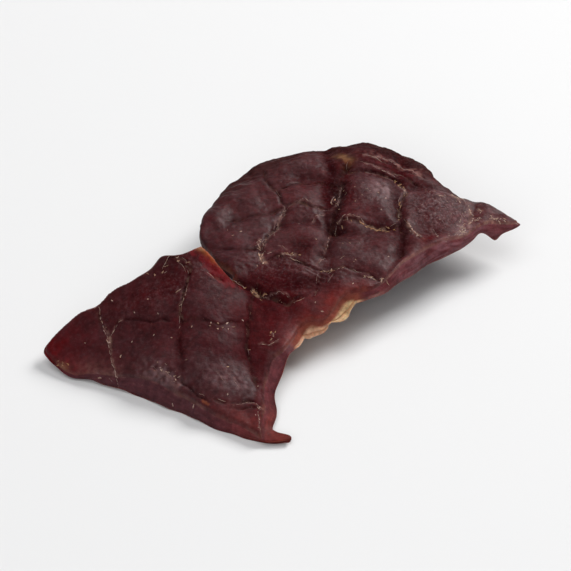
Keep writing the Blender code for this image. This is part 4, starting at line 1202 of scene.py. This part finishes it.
def strand_pieces(rng):
    """The strands broken into short pieces: plan places, lift, width and tone of each."""
    ways = []
    for width, tone, *way in STRANDS:
        line = way_line(way, 0.6 * LINE_STEP)
        line += 0.16 * wanders(line, 0.9, 229.0, 233.0)
        start = 0
        while start < len(line) - 4:
            end = start + rng.integers(5, 13)
            piece = line[start:end] + rng.normal(0, 0.10 * width, 2)
            if len(piece) >= 4:
                ways.append((piece, 0, width * rng.uniform(0.35, 0.65), tone + rng.normal(0, 0.2)))
            start = end + rng.integers(-1, 4)
    return ways


def dots(rng):
    """Single dots of sinew: plan places, lift, width and tone of each."""
    ways = []
    for x, y, size in DOTS:
        t = np.linspace(-0.5, 0.5, 5) * size
        ways.append((slanted(x, y, rng.uniform(0, math.pi), t), 0, DOT_SHARE * size, 1.0))
    return ways


def flecks(points, faces):
    """Points, faces and tones of all slivers, threads, strands and dots of sinew that lie on the meat."""
    tree = BVHTree.FromPolygons([Vector(p) for p in points.tolist()], faces)
    rng = np.random.default_rng(FLECK_SEED)
    every, joined, tones = [], [], []
    for places, raised, width, tone in slivers(rng) + threads(rng) + strand_pieces(rng) + dots(rng):
        laid = lay(tree, places)
        if laid is None:
            continue
        path, normals = laid
        path = path + normals * np.reshape(raised * MM, (-1, 1))
        body, sides = strand(path, normals, width * MM, rng.uniform(*LUMPS, len(path)))
        joined += [[v + len(every) for v in face] for face in sides]
        every += body
        tones += [min(2, max(0, tone))] * len(body)
    return np.array(every), joined, np.array(tones)


def feed(tree, socket, value):
    """Gives a socket its value, or links it to the output that is given as the value."""
    if isinstance(value, bpy.types.NodeSocket):
        tree.links.new(value, socket)
    else:
        socket.default_value = value


def node(tree, kind, inputs, output=0, **settings):
    """Adds a node with its settings and inputs, and gives one of its outputs."""
    made = tree.nodes.new(kind)
    for name, value in settings.items():
        setattr(made, name, value)
    for name, value in inputs.items():
        feed(tree, made.inputs[name], value)
    return made.outputs[output]


def attribute(tree, name, output="Fac"):
    return node(tree, "ShaderNodeAttribute", {}, output, attribute_name=name)


def noise_at(tree, coords, scale, detail=3.0, roughness=0.55):
    """Noise whose waves are about 1/scale metres long."""
    inputs = {"Vector": coords, "Scale": scale, "Detail": detail, "Roughness": roughness}
    return node(tree, "ShaderNodeTexNoise", inputs, "Fac")


def span(tree, value, low, high, to_low=0.0, to_high=1.0):
    inputs = {"Value": value, "From Min": low, "From Max": high, "To Min": to_low, "To Max": to_high}
    return node(tree, "ShaderNodeMapRange", inputs, "Result")


def math_node(tree, operation, a, b):
    return node(tree, "ShaderNodeMath", {0: a, 1: b}, operation=operation)


def blend_colours(tree, share, a, b, kind="MIX"):
    """Blends two colours. Sockets 0, 6 and 7 are the share and the colours, output 2 is the result."""
    a, b = ((*value, 1.0) if isinstance(value, tuple) else value for value in (a, b))
    return node(tree, "ShaderNodeMix", {0: share, 6: a, 7: b}, 2, data_type="RGBA", blend_type=kind)


def bumped(tree, height, strength, distance):
    inputs = {"Height": height, "Strength": strength, "Distance": distance}
    return node(tree, "ShaderNodeBump", inputs, "Normal")


def new_material(name, values):
    """A material whose shader has the given values, with its node tree and its object coordinates."""
    material = bpy.data.materials.new(name)
    material.use_nodes = True
    tree = material.node_tree
    paint_with(tree, values)
    return material, tree, node(tree, "ShaderNodeTexCoord", {}, "Object")


def paint_with(tree, values):
    """Sets or links sockets of the material's shader."""
    for label, value in values.items():
        feed(tree, tree.nodes["Principled BSDF"].inputs[label], value)


def meat_material():
    material, tree, coords = new_material("dried_meat", MEAT_SHADER)
    rough, scuff, gloss, crumbs = (attribute(tree, name) for name in PAINTED[1:])

    def times(a, b):
        return math_node(tree, "MULTIPLY", a, b)

    def noisy(low, high, to_low, to_high, *noise_values):
        return span(tree, noise_at(tree, coords, *noise_values), low, high, to_low, to_high)

    turn = {"Vector": coords, "Scale": FIBRE_STRETCH, "Rotation": (0, 0, math.radians(FIBRE_TURN))}
    fibre = noise_at(tree, node(tree, "ShaderNodeMapping", turn, "Vector"), 2600)
    streak = span(tree, fibre, 0.3, 0.7, 0.94, 1.06)
    bits = times(noisy(0.53, 0.62, 0.0, 1.0, 2300, 3.0, 0.6), crumbs)
    # painted sheen: a grey haze where the meat is glossy
    painted_sheen = times(noisy(0.50, 0.70, 0.0, 1.0, 1500, 4.0, 0.65), gloss)
    specks = times(noisy(0.66, 0.74, 0.0, 1.0, 3300, 2.0), noisy(0.45, 0.6, 0.0, 1.0, 520, 2.0))
    mottle = noisy(0.3, 0.7, 0.60, 1.40, 800, 6.0, 0.70)
    colour = blend_colours(tree, 1.0, attribute(tree, PAINTED[0], "Color"), mottle, "MULTIPLY")
    colour = blend_colours(tree, 1.0, colour, streak, "MULTIPLY")
    colour = blend_colours(tree, painted_sheen, colour, SHEEN_HAZE)
    colour = blend_colours(tree, times(bits, 0.55), colour, CRUMB_AND_HIGHLIGHT)
    colour = blend_colours(tree, times(specks, scuff), colour, SPECK)
    height = math_node(tree, "ADD", times(fibre, 0.5), noise_at(tree, coords, 2100, 4.0, 0.65))
    height = math_node(tree, "ADD", height, bits)
    uneven = math_node(tree, "ADD", rough, noisy(0.3, 0.7, -0.07, 0.07, 900, 4.0))
    normal = bumped(tree, height, 0.70, 0.00012)
    painted = {"Base Color": colour, "Roughness": uneven, "Specular IOR Level": gloss, "Normal": normal}
    paint_with(tree, painted)
    return material


def sinew_material():
    material, tree, coords = new_material("sinew", SINEW_SHADER)
    tone = attribute(tree, "tone")
    colour = blend_colours(tree, span(tree, tone, 0.0, 1.0), SINEW_GOLD, SINEW_CREAM)
    colour = blend_colours(tree, span(tree, tone, 1.0, 2.0), colour, SINEW_ROSE)
    shade = span(tree, noise_at(tree, coords, 2400), 0.3, 0.7, 0.55, 1.15)
    colour = blend_colours(tree, 1.0, colour, shade, "MULTIPLY")
    normal = bumped(tree, noise_at(tree, coords, 5200, 2.0), 0.5, 0.00004)
    paint_with(tree, {"Base Color": colour, "Normal": normal})
    return material


def put(name, data):
    """Adds an object to the scene."""
    made = bpy.data.objects.new(name, data)
    bpy.context.scene.collection.objects.link(made)
    return made


def add_floor():
    mesh = bpy.data.meshes.new("floor")
    low, high = -FLOOR_HALF, FLOOR_HALF
    corners = [(low, low), (high, low), (high, high), (low, high)]
    mesh.from_pydata([(x, y, FLOOR_HEIGHT) for x, y in corners], [], [(0, 1, 2, 3)])
    mesh.materials.append(new_material("pale_floor", FLOOR_SHADER)[0])
    put("floor", mesh)


def add_light(name, place, size, power, colour, mirrored):
    lamp = bpy.data.lights.new(name, "AREA")
    lamp.shape = "RECTANGLE"
    lamp.size, lamp.size_y = size
    lamp.energy, lamp.color = power, colour
    light = put(name, lamp)
    light.location = place
    light.rotation_euler = (-Vector(place)).to_track_quat("-Z", "Y").to_euler()
    light.visible_glossy = mirrored


def add_world():
    world = bpy.data.worlds.new("studio")
    world.use_nodes = True
    background = world.node_tree.nodes["Background"]
    background.inputs["Color"].default_value = WORLD_COLOUR
    background.inputs["Strength"].default_value = WORLD_STRENGTH
    bpy.context.scene.world = world


def add_camera():
    lens = bpy.data.cameras.new("camera")
    lens.sensor_width = CAMERA_SENSOR
    lens.lens = CAMERA_SENSOR * CAMERA_DISTANCE / CAMERA_FIELD
    lens.clip_start, lens.clip_end = CAMERA_CLIP
    camera = put("camera", lens)
    elevation = math.radians(CAMERA_ELEVATION)
    back = Vector((0, -math.cos(elevation), math.sin(elevation)))
    camera.location = Vector(CAMERA_TARGET) + CAMERA_DISTANCE * back
    camera.rotation_euler = (-back).to_track_quat("-Z", "Y").to_euler()
    bpy.context.scene.camera = camera


def add_piece(name, points, faces, values, material):
    mesh = new_mesh(name, points, faces, values)
    mesh.materials.append(material)
    piece = put(name, mesh)
    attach(piece, "root")
    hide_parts("lamb_slice")


def main():
    points, faces, values = slab()
    add_piece("lamb_meat", points, faces, values, meat_material())
    every, joined, tones = flecks(points, faces)
    add_piece("sinew_flecks", every, joined, {"tone": tones}, sinew_material())
    add_floor()
    add_world()
    for light in LIGHTS:
        add_light(*light)
    add_camera()
    bpy.context.scene.view_settings.view_transform = "Standard"


main()
